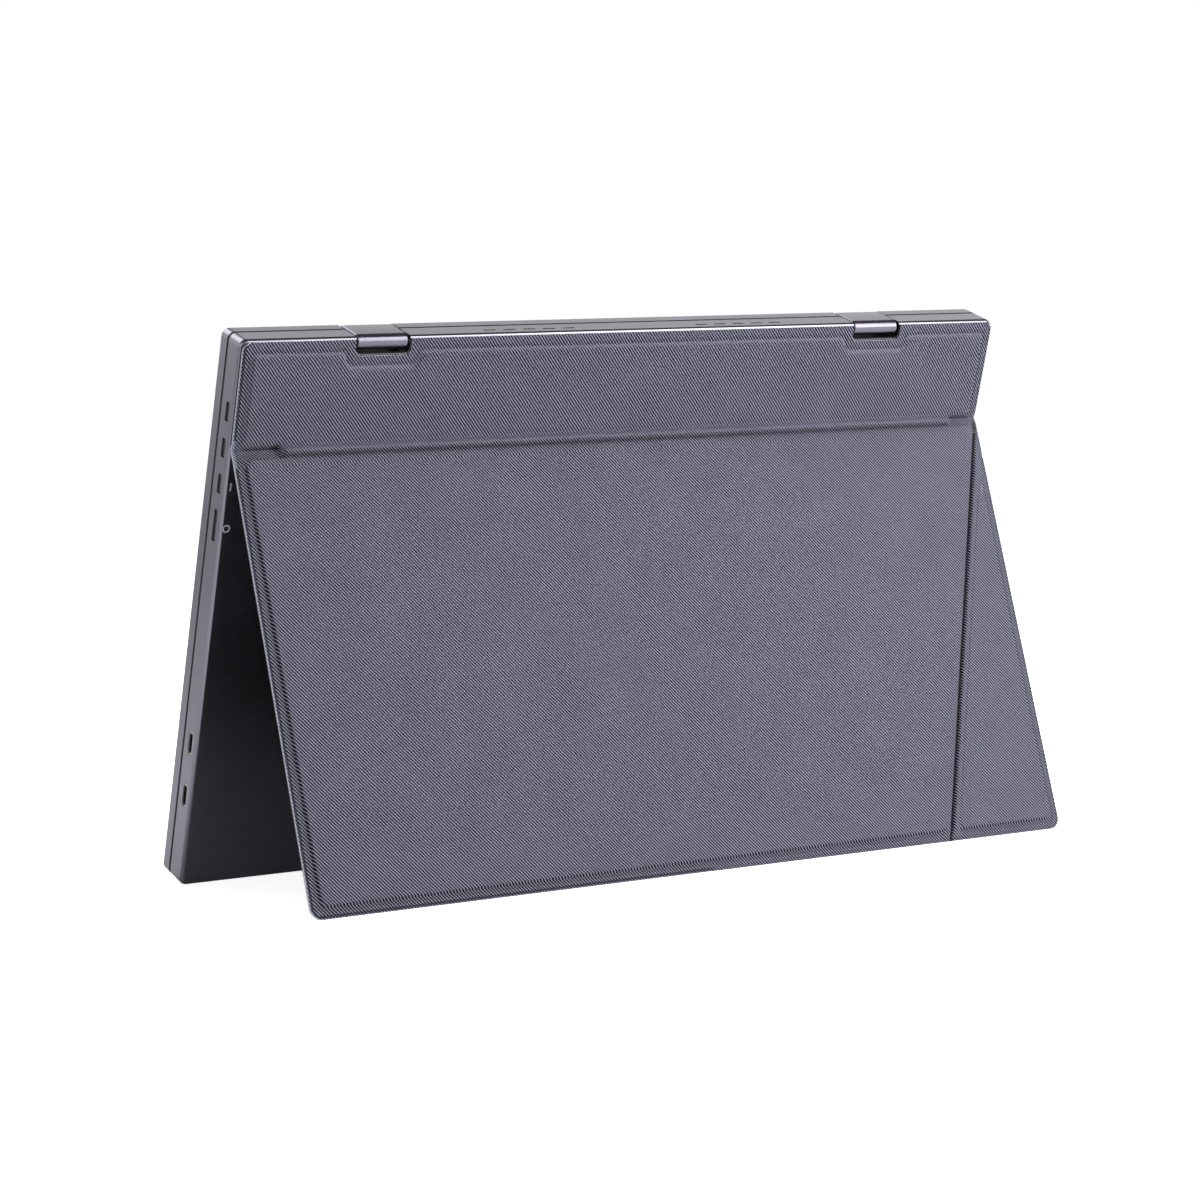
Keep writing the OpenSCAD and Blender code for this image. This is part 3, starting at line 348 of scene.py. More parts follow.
FINISHES = {
    "anodised_shell": anodised,
    "hinge_metal": hinge_satin,
    "steel": plain_steel,
    "screw": zinc_steel,
    "plated": nickel,
    "frame_sheet": mill_sheet,
    "cover_fabric": cover_twill,
    "lining": lining_cloth,
    "circuit_board": solder_mask(),
    "bezel": moulded("ABS bezel, black, fine texture", "#161618", "#1C1C1F", 0.5, 0.3, 0.01),
    "screen": moulded("glass over a dark panel, anti-glare", "#08090C", "#0B0C10", 0.2, 0.12, 0.0015, 1.52, 0.3),
    "backlight": moulded("acrylic light guide and white films", "#DADAD6", "#E6E6E2", 0.4, 0.6, 0.004, 1.49),
    "chip": moulded("epoxy package, black", "#1A1A1B", "#242425", 0.6, 0.2, 0.01),
    "black_plastic": moulded("glass-filled nylon, black", "#151516", "#1E1E20", 0.45, 0.25, 0.008),
    "cable": moulded("cable jacket, black", "#141415", "#1B1B1C", 0.5, 0.4, 0.01),
    "pad": moulded("silicone rubber, black", "#1A1A1B", "#212122", 0.65, 0.5, 0.01, 1.43),
    "ink": moulded("screen-printed ink, light grey", "#C2C2C8", "#D0D0D6", 0.5, 0.15, 0.006),
    "stiffener": moulded("glass fibre sheet", "#A89C7C", "#B8AC8C", 0.5, 0.8, 0.02, 1.55),
    "key": moulded("ABS key, satin dark grey", "#101012", "#161619", 0.5, 0.25, 0.006),
}
counted = 0
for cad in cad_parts.values():
    for place in cad.material_slots:
        key = place.material.name.split(".")[0] if place.material else ""
        if key in FINISHES:
            place.material = FINISHES[key]
            counted += 1
        else:
            print("no finish for", cad.name, key)
print("finished CAD slots:", counted)

# %% [markdown]
# ## A thin shell from two grids
#
# Each piece of the cover is a sheet with a face, a back and a cut edge. It is worked
# out as two grids of points, one for each side. Cells that fall in a hinge notch are
# dropped, and a strip of faces closes every open edge between the two grids.

# %% Shell builder and row spacing
def spaced(low, high, fine, coarse, marks, reach):
    """Places from low to high, with a fine step near each mark and a coarse one elsewhere.

    The sum of 1 / step along the way is cut into equal shares.
    """
    t = np.linspace(low, high, 6000)
    near = np.min(np.abs(t[:, None] - np.array(marks)[None]), 1)
    step = coarse - (coarse - fine) * np.exp(-((near / reach) ** 4))
    total = np.concatenate([[0], np.cumsum((1 / step)[1:] * np.diff(t))])
    return np.interp(np.linspace(0, total[-1], int(np.ceil(total[-1])) + 1), total, t)


def grid_quads(index):
    """The four corners of every cell of a grid of point numbers."""
    return np.stack([index[:-1, :-1], index[:-1, 1:], index[1:, 1:], index[1:, :-1]], -1)


def new_piece(name, points, faces, finishes, smooth=None):
    """A mesh object at the origin. An edge stays sharp where it turns by more than smooth, in degrees."""
    mesh = bpy.data.meshes.new(name)
    mesh.from_pydata(points.tolist(), [], faces)
    for item in finishes:
        mesh.materials.append(item)
    if smooth:
        mesh.polygons.foreach_set("use_smooth", np.ones(len(mesh.polygons), bool))
        mesh.set_sharp_from_angle(angle=math.radians(smooth))
    made = bpy.data.objects.new(name, mesh)
    bpy.context.scene.collection.objects.link(made)
    return made


def shell(name, face, back, uv, keep=None, finishes=(), tint_and_painted_light=None):
    """Mesh from a face grid and a back grid of shape (rows, columns, 3).

    Quads fill both grids, and quads join them along each edge that is used once.
    """
    rows, cols = face.shape[:2]
    n = rows * cols
    quads = grid_quads(np.arange(n).reshape(rows, cols))
    quads = quads[keep] if keep is not None else quads.reshape(-1, 4)
    start = np.concatenate([quads[:, i] for i in range(4)])
    end = np.concatenate([quads[:, (i + 1) % 4] for i in range(4)])
    open_edge = ~np.isin(start * n + end, end * n + start)
    a, b = start[open_edge], end[open_edge]
    faces = np.concatenate([quads, quads[:, ::-1] + n, np.stack([b, a, a + n, b + n], -1)])
    kind = np.concatenate([np.zeros(2 * len(quads), int), np.ones(len(a), int)])
    points = np.concatenate([face.reshape(-1, 3), back.reshape(-1, 3)])
    flat = np.concatenate([uv.reshape(-1, 2)] * 2)
    used, faces = np.unique(faces, return_inverse=True)
    faces = faces.reshape(-1, 4)
    made = new_piece(name, points[used], faces.tolist(), finishes, 50)
    mesh = made.data
    layer = mesh.uv_layers.new(name="cloth")
    corner = np.zeros(len(mesh.loops), np.int32)
    mesh.loops.foreach_get("vertex_index", corner)
    layer.data.foreach_set("uv", flat[used][corner].astype(np.float32).ravel())
    if tint_and_painted_light is not None:
        marked = mesh.attributes.new("tint_and_painted_light", "FLOAT", "POINT")
        both = np.concatenate([np.broadcast_to(tint_and_painted_light, (rows, cols)).ravel(), np.zeros(n)])
        marked.data.foreach_set("value", both[used].astype(np.float32))
    if len(finishes) > 1:
        mesh.polygons.foreach_set("material_index", kind.astype(np.int32))
    mesh.update()
    print(name, len(faces), "faces")
    return made


def soft_max(a, b, k):
    """The larger of two distances, with the corner between them rounded over k millimetres."""
    return np.maximum(a, b) + np.maximum(k - np.abs(a - b), 0) ** 2 / (4 * k)


def box_distance(x, y, cx, cy, half_w, half_h, r):
    """Signed distance to a rounded box: below 0 inside."""
    dx, dy = np.abs(x - cx) - half_w + r, np.abs(y - cy) - half_h + r
    outside = np.hypot(np.maximum(dx, 0), np.maximum(dy, 0))
    return outside + np.minimum(np.maximum(dx, dy), 0) - r


def board_rise(distance, width=1.15):
    """Height of the cloth over a board: an S curve from 0 at its outline to the full rise at width inside it."""
    t = np.clip(-distance / width, 0, 1)
    return BOARD_RISE * t * t * t * (t * (6 * t - 15) + 10)


def hill(x, middle, half):
    """A bell of height 1 at middle that falls to 0.37 at half on each side."""
    return np.exp(-(((x - middle) / half) ** 2))


def hem_height(s):
    """The pressed hem, by distance s from the cut edge: a groove at 1 mm, then a low ridge at 2.6 mm."""
    return 0.12 * hill(s, 2.6, 0.9) - 0.18 * hill(s, 0.95, 0.35)


def cloth_tint_and_painted_light(s, field, side):
    """Pale yarn ends on the cut edge and painted shade in the hem's groove beside it, strongest where side is above
    0.

    Each board also gets a painted highlight on the rim just inside its outline and painted shade just outside.
    """
    hem = np.where(side > 0, 1.0, 0.25)
    outline = 0.22 * hill(field, -0.3, 0.4) - 0.2 * hill(field, 0.9, 0.6)
    return hem * (0.8 * hill(s, 0, 0.3) - 0.9 * hill(s, 1.0, 0.45)) + outline


# %% [markdown]
# ## The cover's fixed strip
#
# Above the crease the cloth is glued to the rear slab. A stiff board under it makes
# a raised field, with a flat border of cloth about 4 mm wide round it, and both go
# round the two hinge notches. The field's outline is a signed distance: a rounded
# box for the strip, cut by a rounded box at each notch. The cloth's height is an
# S curve of that distance.

# %% Strip of cloth on the rear slab
# How far the cloth is cut back round a hinge notch, and the cut's corner radius
NOTCH_CUT = (0.5, 2.7)


def notch_distance(x, y, margin, r):
    """Distance to the nearer hinge notch, grown by margin, below 0 inside it."""
    half_h = (NOTCH_DROP + margin + 20) / 2
    return box_distance(np.abs(x), y, HINGE_X, SLAB_H + 20 - half_h, NOTCH_W / 2 + margin, half_h, r)


def notch_sides(margin):
    """x of the four sides of the two notches, each notch grown by margin."""
    return [s * (HINGE_X + e * (NOTCH_W / 2 + margin)) for s in (-1, 1) for e in (-1, 1)]


def strip_field(x, y):
    """Distance to the strip board's outline: a rounded box, cut by a rounded box round each notch."""
    low, high = STRIP_LOW + 0.2, FABRIC_TOP - 4.8
    field = box_distance(x, y, 0, (low + high) / 2, BOARD_X, (high - low) / 2, 2.0)
    return soft_max(field, -notch_distance(x, y, 4.4, 4.0), 2.5)


def strip_height(x, y):
    """Outer face of the strip: edge depth, the board's rise inside its outline and the hem at the sides."""
    return EDGE_DEEP + board_rise(strip_field(x, y)) + hem_height(FABRIC_X - np.abs(x))


def rounded_top(x, y):
    """Pull the columns near the sides inwards, so that the top corners follow a quarter circle."""
    t = np.clip((y - (FABRIC_TOP - CORNER_R)) / CORNER_R, 0, 1)
    pull = CORNER_R * (1 - np.sqrt(1 - t * t))
    return x - np.sign(x) * pull * np.clip((np.abs(x) - 150) / (FABRIC_X - 150), 0, 1)


def strip_cloth():
    """Grid over the strip, with fine lines at its edges and round the notches.

    Points next to a notch slide onto its outline, so that the cut is smooth.
    """
    marks = [-FABRIC_X, FABRIC_X, -BOARD_X, BOARD_X, *notch_sides(2.5)]
    xs = spaced(-FABRIC_X, FABRIC_X, 0.33, 5.0, marks, 4.5)
    ys = spaced(PIVOT_H + FOLD_UP, FABRIC_TOP, 0.3, 3.0, [FABRIC_TOP - 6.5], 5.5)
    x, y = np.meshgrid(xs, ys)
    straight = x
    x = rounded_top(x, y)
    e = 0.02
    for _ in range(3):
        d = notch_distance(x, y, *NOTCH_CUT)
        gx = (notch_distance(x + e, y, *NOTCH_CUT) - d) / e
        gy = (notch_distance(x, y + e, *NOTCH_CUT) - d) / e
        near = np.abs(d) < 0.22
        x, y = x - near * d * gx, y - near * d * gy
    y = np.minimum(y, FABRIC_TOP)
    middle = [(v[:-1, :-1] + v[1:, 1:] + v[:-1, 1:] + v[1:, :-1]) / 4 for v in (x, y)]
    keep = notch_distance(*middle, *NOTCH_CUT) > 0
    high = strip_height(x, y)
    face, back = slab_space(x, y, high), slab_space(x, y, high - CLOTH)
    uv = np.stack([x, y], -1) / 1000
    tint_and_painted_light = cloth_tint_and_painted_light(FABRIC_X - np.abs(straight), strip_field(x, y), straight)
    return shell("strip_cloth", face, back, uv, keep, (cover_twill, cut_edge), tint_and_painted_light)


strip_piece = strip_cloth()

# %% [markdown]
# ## The stand flap and its folding corner
#
# Below the crease the same cloth carries two more boards. A slanted crease parts
# them, so one corner can fold on its own. The grids follow that slant: each row
# runs from the slanted line to the side edge, with fine steps at both ends and wide
# steps in the flat middle.

# %% Flap cloth, wing cloth and the slanted crease
def side_edge(y):
    """Half width of the cloth at height y: full above the foot, on a 5 mm quarter circle in its corner."""
    t = np.clip((FOOT_Y + 5.0 - y) / 5.0, 0, 1)
    return FABRIC_X - 5.0 * (1 - np.sqrt(1 - t * t))


def flap_field(x, y):
    """Distance to the main board's outline: the largest of the distances to its four sides, corners rounded."""
    slant = -(x - crease_x(y, WING_HALF + 0.4)) / WING_SLANT
    sides = soft_max(slant, x - BOARD_X, 2.5)
    ends = soft_max(FOOT_Y + 4.0 - y, y - (FLAP_TOP - 0.2), 2.5)
    return soft_max(sides, ends, 3.5)


def wing_field(x, y):
    """Distance to the corner board's outline, a triangle with rounded corners."""
    slant = (x - crease_x(y, -WING_HALF - 0.4)) / WING_SLANT
    sides = soft_max(slant, -BOARD_X - 0.2 - x, 2.5)
    return soft_max(sides, FOOT_Y + 4.0 - y, 3.5)


def slant_rise(x, y):
    """The cloth swells beside the slanted crease, so that only a narrow groove is left between the boards."""
    d = np.abs(x - crease_x(y, 0)) / WING_SLANT
    t = np.clip((d - 0.15) / 1.3, 0, 1)
    inside = np.clip((FABRIC_X + x) / 6.0, 0, 1) * np.clip((y - FOOT_Y) / 6.0, 0, 1)
    return BOARD_RISE * 0.8 * t * t * (3 - 2 * t) * (1 - np.clip((d - 3.2) / 1.6, 0, 1)) * inside


def flap_height(x, y):
    """Outer face of the flap: edge depth, the higher of the boards' rises and the swell, the groove and the hem."""
    d = (x - crease_x(y, 0)) / WING_SLANT
    rise = np.maximum(board_rise(flap_field(x, y)) + board_rise(wing_field(x, y)), slant_rise(x, y))
    return EDGE_DEEP + rise - 0.4 * hill(d, 0, 0.5) + hem_height(side_edge(y) - np.abs(x))


def flap_tint_and_painted_light(x, y):
    """Colour of any part of the flap: the hem, painted highlight and shade along the boards' outlines, and painted
    shade in the slanted groove.
    """
    d = (x - crease_x(y, 0)) / WING_SLANT
    outline = np.minimum(np.abs(flap_field(x, y) - 0.25), np.abs(wing_field(x, y) - 0.25))
    edge = np.minimum(side_edge(y) - np.abs(x), y - FOOT_Y)
    return cloth_tint_and_painted_light(edge, 0.25 + outline + 3 * hill(d, 0, 4.5), x) - 1.1 * hill(d, 0, 0.75)


def flap_rows(top=PIVOT_H - FOLD_DOWN):
    """Heights of the grid rows, fine at the foot."""
    return spaced(FOOT_Y, top, 0.3, 4.0, [FOOT_Y + 2.5], 5.0)


def flap_shell(name, x, y):
    """Cloth of even thickness over the flap's boards, from a grid of places on the flap."""
    y = np.broadcast_to(y, x.shape)
    high, uv = flap_height(x, y), np.stack([x, y], -1) / 1000
    face, back = flap_space(x, y, high), flap_space(x, y, high - CLOTH)
    return shell(name, face, back, uv, None, (cover_twill, cut_edge), flap_tint_and_painted_light(x, y))


def flap_cloth():
    """Each row goes from the slanted crease to the side edge: both ends have fixed steps, the middle stretches."""
    y = flap_rows()[:, None]
    left, right = crease_x(y, SLANT_HALF), side_edge(y)
    ends = spaced(0, 9, 0.3, 1.2, [0.8, 3.5], 3.5)
    middle = left + 9 + (right - left - 18) * np.linspace(0, 1, 62)[None, 1:-1]
    x = np.concatenate([left + ends[None], middle, right - ends[::-1][None]], 1)
    return flap_shell("flap_cloth", x, y)


def wing_cloth():
    """Rows of the triangle from the side edge to the slanted crease, each cut finely at both ends."""
    top = PIVOT_H - (SLANT_HALF * WING_SLANT + 0.25) / WING_RUN
    y = spaced(FOOT_Y, top, 0.3, 3.5, [FOOT_Y + 2.5], 5.0)[:, None]
    left, right = -side_edge(y), crease_x(y, -SLANT_HALF)
    share = 0.5 - 0.5 * np.cos(np.pi * np.linspace(0, 1, 64))
    return flap_shell("wing_cloth", left + (right - left) * share[None], y)


def slant_crease():
    """A band along the slanted crease, over both boards' edges. No point passes the side edge."""
    y = flap_rows()[:, None]
    d = spaced(-SLANT_HALF, SLANT_HALF, 0.16, 0.5, [0, -3.4, 3.4], 1.4)[None]
    x = np.maximum(crease_x(y, d), -side_edge(y))
    y = np.broadcast_to(y, x.shape)
    d = np.abs(x - crease_x(y, 0)) / WING_SLANT
    high = flap_height(x, y)
    groove = np.minimum(0.2 + 0.3 * (d / WING_HALF) ** 6, high - 0.3)
    inner = np.where(d > WING_HALF, high - CLOTH, groove)
    face, back = flap_space(x, y, high), flap_space(x, y, inner)
    uv, tint_and_painted_light = np.stack([x, y], -1) / 1000, flap_tint_and_painted_light(x, y)
    return shell("slant_crease_cloth", face, back, uv, None, (cover_twill, cut_edge), tint_and_painted_light)


flap_piece = flap_cloth()
wing_piece = wing_cloth()
slant_piece = slant_crease()

# %% [markdown]
# ## The pinched crease
#
# Where the flap swings out, the cloth on the outside is pinched up into a long soft
# welt that hangs over the flap: a gentle slope above, which catches the light and also
# gets a painted highlight, and a steep one below, with a dark line of painted shade
# under it. It ends before the cloth's sides, where the crease is only a valley with a
# dark fold of painted shade. Its profile is a cosine bell with a different half width
# on each side of its crest.

# %% Pinched crease
CREST, WELT_UP, WELT_DOWN, WELT_RISE = -1.3, 3.3, 2.5, 2.5
WELT_MID, WELT_HALF, FOLD_LINE = 2.5, 161.5, 0.1


def crease_profile(w, deep, width):
    """Points of a layer that bends at the crease, at distance w above it.

    The strip's plane and the swung flap's plane are mixed by an S curve of w over the given width.
    """
    t = np.clip(0.5 - w / width, 0, 1)
    t = t * t * (3 - 2 * t)
    strip_y, strip_out = w, deep + 0 * w
    out = PIVOT_DEEP - deep
    flap_y = w * math.cos(FOLD) - out * math.sin(FOLD)
    flap_out = PIVOT_DEEP - (w * math.sin(FOLD) + out * math.cos(FOLD))
    return (1 - t) * strip_y + t * flap_y, (1 - t) * strip_out + t * flap_out


def crease_cloth():
    """Rows across the crease: both planes, and on them the welt's bell, which fades at both ends and puckers."""
    x = spaced(-FABRIC_X, FABRIC_X, 0.5, 1.6, [-WELT_MID - WELT_HALF, WELT_HALF - WELT_MID], 8)[:, None]
    w = spaced(-FOLD_DOWN, FOLD_UP, 0.2, 0.35, [CREST - WELT_DOWN, CREST], 1.2)[::-1][None]
    wide, tall = x + 0 * w, PIVOT_H + w + 0 * x
    away = np.where(w > CREST, (w - CREST) / WELT_UP, (CREST - w) / WELT_DOWN)
    lift = 0.5 + 0.5 * np.cos(np.pi * np.clip(away, 0, 1))
    fade = np.clip((WELT_HALF + 1.0 - np.abs(x + WELT_MID)) / 4.0, 0, 1)
    fade = fade * fade * (3 - 2 * fade)
    pucker = 1 + 0.05 * np.sin(x / 9.1) * np.sin(x / 23.7 + 1.3) + 0.03 * np.sin(x / 3.9 + np.sin(x / 17))
    rise = WELT_RISE * fade * pucker * lift - 0.3 * (1 - fade) * hill(w, FOLD_LINE, 0.8)
    # Under the welt the cloth stays at the boards' height, beyond its ends it dips between them
    side = FABRIC_X - np.abs(wide)
    dipped = np.where(w > 0, strip_height(wide, tall), flap_height(wide, tall))
    deep = dipped + fade * (EDGE_DEEP + BOARD_RISE + hem_height(side) - dipped)
    # Between the boards' edges the inner layer drops to 0.1 mm, so that it closes the gap
    inner = np.where((w > 2.2) | (w < -3.9), deep - CLOTH, np.minimum(0.1 + 0 * deep, deep - CLOTH))
    width = 1.4 + 5.0 * (1 - fade)
    y, out = crease_profile(w + 0 * x, deep, width)
    inner_y, inner_out = crease_profile(w + 0 * x, inner, width)
    y, out = y + rise * math.sin(FOLD / 2), out + rise * math.cos(FOLD / 2)
    face = slab_space(wide, PIVOT_H + y, out)
    back = slab_space(wide, PIVOT_H + inner_y, inner_out)
    flat = np.concatenate([[0], np.cumsum(np.hypot(np.diff(w[0]), np.diff(lift[0] * WELT_RISE)))])
    uv = np.stack([wide / 1000, (PIVOT_H + FOLD_UP - flat[None] + 0 * wide) / 1000], -1)
    # Marks of the boards, painted shade in the fold beyond the welt's ends, a painted highlight on the welt's top,
    # and painted shade at its foot and its left end
    tint_and_painted_light = np.where(w > 0, cloth_tint_and_painted_light(side, strip_field(wide, tall), wide), flap_tint_and_painted_light(wide, tall))
    tint_and_painted_light = tint_and_painted_light * (1 - fade * (lift > 0))
    tint_and_painted_light -= 0.9 * hill(w, FOLD_LINE, 0.3) * (1 - fade) * np.clip((side - 3) / 2, 0, 1)
    tint_and_painted_light += fade * (0.15 * hill(w, CREST + 0.8, 0.8) - 0.5 * hill(w, CREST - 1.9, 0.7))
    tint_and_painted_light -= 0.7 * hill(x, 160, 1.3) * hill(w, FOLD_LINE, 1.6)
    grids = [v[:, ::-1] for v in (face, back, uv)]
    return shell("top_crease_cloth", *grids, None, (cover_twill, cut_edge), tint_and_painted_light[:, ::-1])


crease_piece = crease_cloth()

# %% [markdown]
# ## The lining's three pieces
#
# The lining lies flat against the slab or the boards, so each piece is a plain thin
# sheet with the same outline as the cloth over it.

# %% Lining pieces
BOARD_DEEP = 0.4


def lining_sheet(name, place, x, y, low, keep=None):
    """A flat sheet from the depth low to the depth where the board starts, in the given space."""
    y = np.broadcast_to(y, x.shape)
    face, back = place(x, y, BOARD_DEEP + 0 * x), place(x, y, low + 0 * x)
    return shell(name, face, back, np.stack([x, y], -1) / 1000, keep, (lining_cloth,))


def lining_pieces():
    """Strip: the same notch outline as its cloth. Flap and wing: rows from the slanted crease to the side edge."""
    xs = spaced(-FABRIC_X, FABRIC_X, 0.5, 8.0, notch_sides(0.5), 3.0)
    ys = spaced(STRIP_LOW, FABRIC_TOP, 0.5, 4.0, [FABRIC_TOP - 6.5], 2.0)
    x, y = np.meshgrid(xs, ys)
    x = rounded_top(x, y) * (1 - 0.4 / FABRIC_X)
    y = np.minimum(y, FABRIC_TOP - 0.3)
    middle = [(v[:-1, :-1] + v[1:, 1:]) / 2 for v in (x, y)]
    keep = notch_distance(*middle, *NOTCH_CUT) > 0.2
    strip = lining_sheet("strip_lining_cloth", slab_space, x, y, 0.05, keep)
    rows = flap_rows(FLAP_TOP)[:, None]
    share = np.linspace(0, 1, 30)[None]
    left, right = crease_x(rows, WING_HALF), side_edge(rows)
    x = left + (right - left) * share
    flap = lining_sheet("flap_lining_cloth", flap_space, x, rows, 0.1)
    top = PIVOT_H - (WING_HALF * WING_SLANT + 0.25) / WING_RUN
    rows = spaced(FOOT_Y, top, 0.4, 4.0, [FOOT_Y + 2.5], 4.0)[:, None]
    left, right = -side_edge(rows), crease_x(rows, -WING_HALF)
    x = left + (right - left) * share
    wing = lining_sheet("wing_lining_cloth", flap_space, x, rows, 0.1)
    return strip, flap, wing


strip_lining, flap_lining, wing_lining = lining_pieces()

# %% Bodies for six cloth pieces, and the CAD parts that the new pieces replace
for piece, body, node in (
    (strip_piece, "base", "strip_fabric"),
    (strip_lining, "base", "strip_lining"),
    (flap_piece, "flap", "flap_fabric"),
    (flap_lining, "flap", "flap_lining"),
    (wing_piece, "wing", "wing_fabric"),
    (wing_lining, "wing", "wing_lining"),
):
    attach(piece, body)
    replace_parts(piece, node)
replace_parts(crease_piece, "top_crease")
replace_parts(slant_piece, "wing_crease")


def corner(place, x, y, deep):
    """One point of a space as a plain tuple."""
    return tuple(float(v) for v in place(x, y, deep))


corner(slab_space, 0.0, STRIP_LOW, PIVOT_DEEP)
corner(flap_space, 0.0, FLAP_TOP, PIVOT_DEEP)
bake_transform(crease_piece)
# Points on both sides of the slanted crease's fold line; the results are not used
mid_y = 90.0
mid_x = float(crease_x(mid_y, 0))
step_x, step_y = WING_HALF * math.cos(WING_ANGLE), WING_HALF * math.sin(WING_ANGLE)
corner(flap_space, mid_x + 0.1 * step_x, mid_y + 0.1 * step_y, PIVOT_DEEP)
corner(flap_space, mid_x - step_x, mid_y - step_y, PIVOT_DEEP)
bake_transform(slant_piece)

# %% [markdown]
# ## Hinge covers
#
# Each hinge is hidden in a flattened tube that spans both hinge axes. It is cut from
# an extrusion and its ends are chamfered, which shows as a bright line at each end.
# The surface is a closed profile (outer wall, chamfer, end ring, inner wall) carried
# round a stadium: two half circles and two straight runs.

# %% Hinge covers
KNUCKLE_R, KNUCKLE_LEN, KNUCKLE_WALL = 3.05, 22.1, 0.6
CHAMFER, LIP = 0.45, 0.06
AXIS_H, AXIS_REAR, AXIS_FRONT = SLAB_H - 2.7, LID_T / 2, BASE_T + SEAM + LID_T / 2


def hinge_cover(name, centre_x):
    """Profile (x, radius) carried round the stadium: nearest axis point plus radius times outward direction."""
    half, low, inner = KNUCKLE_LEN / 2, KNUCKLE_R - CHAMFER, KNUCKLE_R - KNUCKLE_WALL
    px = np.array([-half, LIP - half, CHAMFER - half, half - CHAMFER, half - LIP, half, half, -half])
    pr = np.array([low, low + 0.1, KNUCKLE_R, KNUCKLE_R, low + 0.1, low, inner, inner])
    turn = np.linspace(0, np.pi, 33)
    angle = np.concatenate([turn, turn + np.pi])
    axis = np.concatenate([np.full(33, AXIS_REAR), np.full(33, AXIS_FRONT)])
    # Angle 0 points up the slab, then goes round the rear end, down, and round the front end
    depth = -(axis[None] - np.sin(angle)[None] * pr[:, None])
    height = AXIS_H + np.cos(angle)[None] * pr[:, None]
    points = slab_space(centre_x + px[:, None] + 0 * depth, height, depth)
    # The grid wraps both ways, so that the surface is closed
    index = np.pad(np.arange(depth.size).reshape(depth.shape), ((0, 1), (0, 1)), "wrap")
    made = new_piece(name, points.reshape(-1, 3), grid_quads(index).reshape(-1, 4).tolist(), (hinge_satin,), 28)
    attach(made, "hinge_links")
    return made


for side, centre in (("left", HINGE_X), ("right", -HINGE_X)):
    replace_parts(hinge_cover(side + "_barrel", centre), side + "_hinge_cover")

# %% [markdown]
# ## Painted shade in the seam between the slabs
#
# Between the two slabs the eye sees a dark line some 1.7 mm wide, all round. It is
# painted shade: a triangle of black bezel plastic fills the bevel of each shell. Each
# one is a triangle carried along the slab's outline, a rounded rectangle that stops at
# the hinges, and closed at its ends.

# %% Painted seam shade in the bevels
SLAB_R, NOTCH_STOP = 3.0, NOTCH_W / 2 + 0.3


def outline_runs():
    """Two open runs along the outline, as x, y and the outward direction: between the hinges, and round the rest."""
    top = np.array([-HINGE_X + NOTCH_STOP, HINGE_X - NOTCH_STOP])
    middle = np.stack([top, 0 * top + SLAB_H, 0 * top, 0 * top + 1], 1)
    half_w, rows = SLAB_W / 2 - SLAB_R, [[HINGE_X + NOTCH_STOP, SLAB_H, 0, 1]]
    high = SLAB_H - SLAB_R
    for cx, cy, first in ((half_w, high, 90), (half_w, SLAB_R, 0), (-half_w, SLAB_R, -90), (-half_w, high, -180)):
        a = np.radians(first - np.linspace(0, 90, 9))
        rows += np.stack([cx + SLAB_R * np.cos(a), cy + SLAB_R * np.sin(a), np.cos(a), np.sin(a)], 1).tolist()
    rows.append([-HINGE_X - NOTCH_STOP, SLAB_H, 0, 1])
    return middle, np.array(rows)


def edge_trim(name, body, material, profile, runs):
    """Carry a closed profile of (outwards, height from the back face) points along each run, and cap the ends."""
    points, faces, base = [], [], 0
    out, z = np.array(profile).T
    n = len(out)
    for run in runs:
        x = run[:, 0:1] + run[:, 2:3] * out[None]
        y = run[:, 1:2] + run[:, 3:4] * out[None]
        points.append(slab_space(x, y, -z[None] + 0 * x).reshape(-1, 3))
        index = base + np.arange(len(run) * n).reshape(-1, n)
        index = np.concatenate([index, index[:, :1]], 1)
        faces += grid_quads(index).reshape(-1, 4).tolist() + [index[0, :n][::-1].tolist(), index[-1, :n].tolist()]
        base += len(run) * n
    made = new_piece(name, np.concatenate(points), faces, (material,), 30)
    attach(made, body)
    return made


BEVEL, INSET = 0.5, 0.02
rear_z, front_z = BASE_T, BASE_T + SEAM
rear = [(-BEVEL, rear_z), (-INSET, rear_z - BEVEL + INSET), (-INSET, rear_z)]
front = [(-INSET, front_z), (-INSET, front_z + BEVEL - INSET), (-BEVEL, front_z)]
# Black triangles in both bevels: painted shade of the seam
edge_trim("rear_seam_shade", "base", FINISHES["bezel"], rear, outline_runs())
edge_trim("front_seam_shade", "lid", FINISHES["bezel"], front, outline_runs())

# %% [markdown]
# ## The polished rear edge and the painted shade line along the cloth's sides
#
# The rear shell's top edge shines as a fine white line in the photograph, much
# brighter than the blasted faces, as an edge does that was cut after blasting. Along
# the cloth's sides there is a black line instead: painted shade, a sliver of black
# bezel plastic where the cloth's edge sits in the shadow of the round. Both are thin
# slivers on the shell's own 1.5 mm round, between two angles of that round.

# %% Polished edge and painted shade line along the cloth's sides
EDGE_R, PROUD, SUNK = 1.5, 0.02, 0.06


def sliver(low, high, count):
    """Closed profile from the back face's angle low to high: an arc just outside the round and one just inside."""
    t = np.radians(np.linspace(low, high, count))
    outer = np.stack([EDGE_R * (np.sin(t) - 1) + PROUD * np.sin(t), EDGE_R * (1 - np.cos(t)) - PROUD * np.cos(t)], 1)
    inner = np.stack([(EDGE_R - SUNK) * np.sin(t) - EDGE_R, EDGE_R - (EDGE_R - SUNK) * np.cos(t)], 1)
    return np.concatenate([outer, inner[::-1]])


polished = metal("aluminium edge, cut and polished", "#75737C", "#7B7982", 0.1, 0.15, 30, 0.4, 0.0004)
middle_run, round_run = outline_runs()
# The round run keeps its two top corners, and is cut where x jumps from one to the other
top_only = round_run[round_run[:, 1] > SLAB_H - 2.4]
half = int(np.argmax(np.diff(top_only[:, 0]) < -100)) + 1
top_runs = [middle_run, top_only[:half], top_only[half:]]
edge_trim("polished_edge", "base", polished, sliver(16, 80, 9), top_runs)

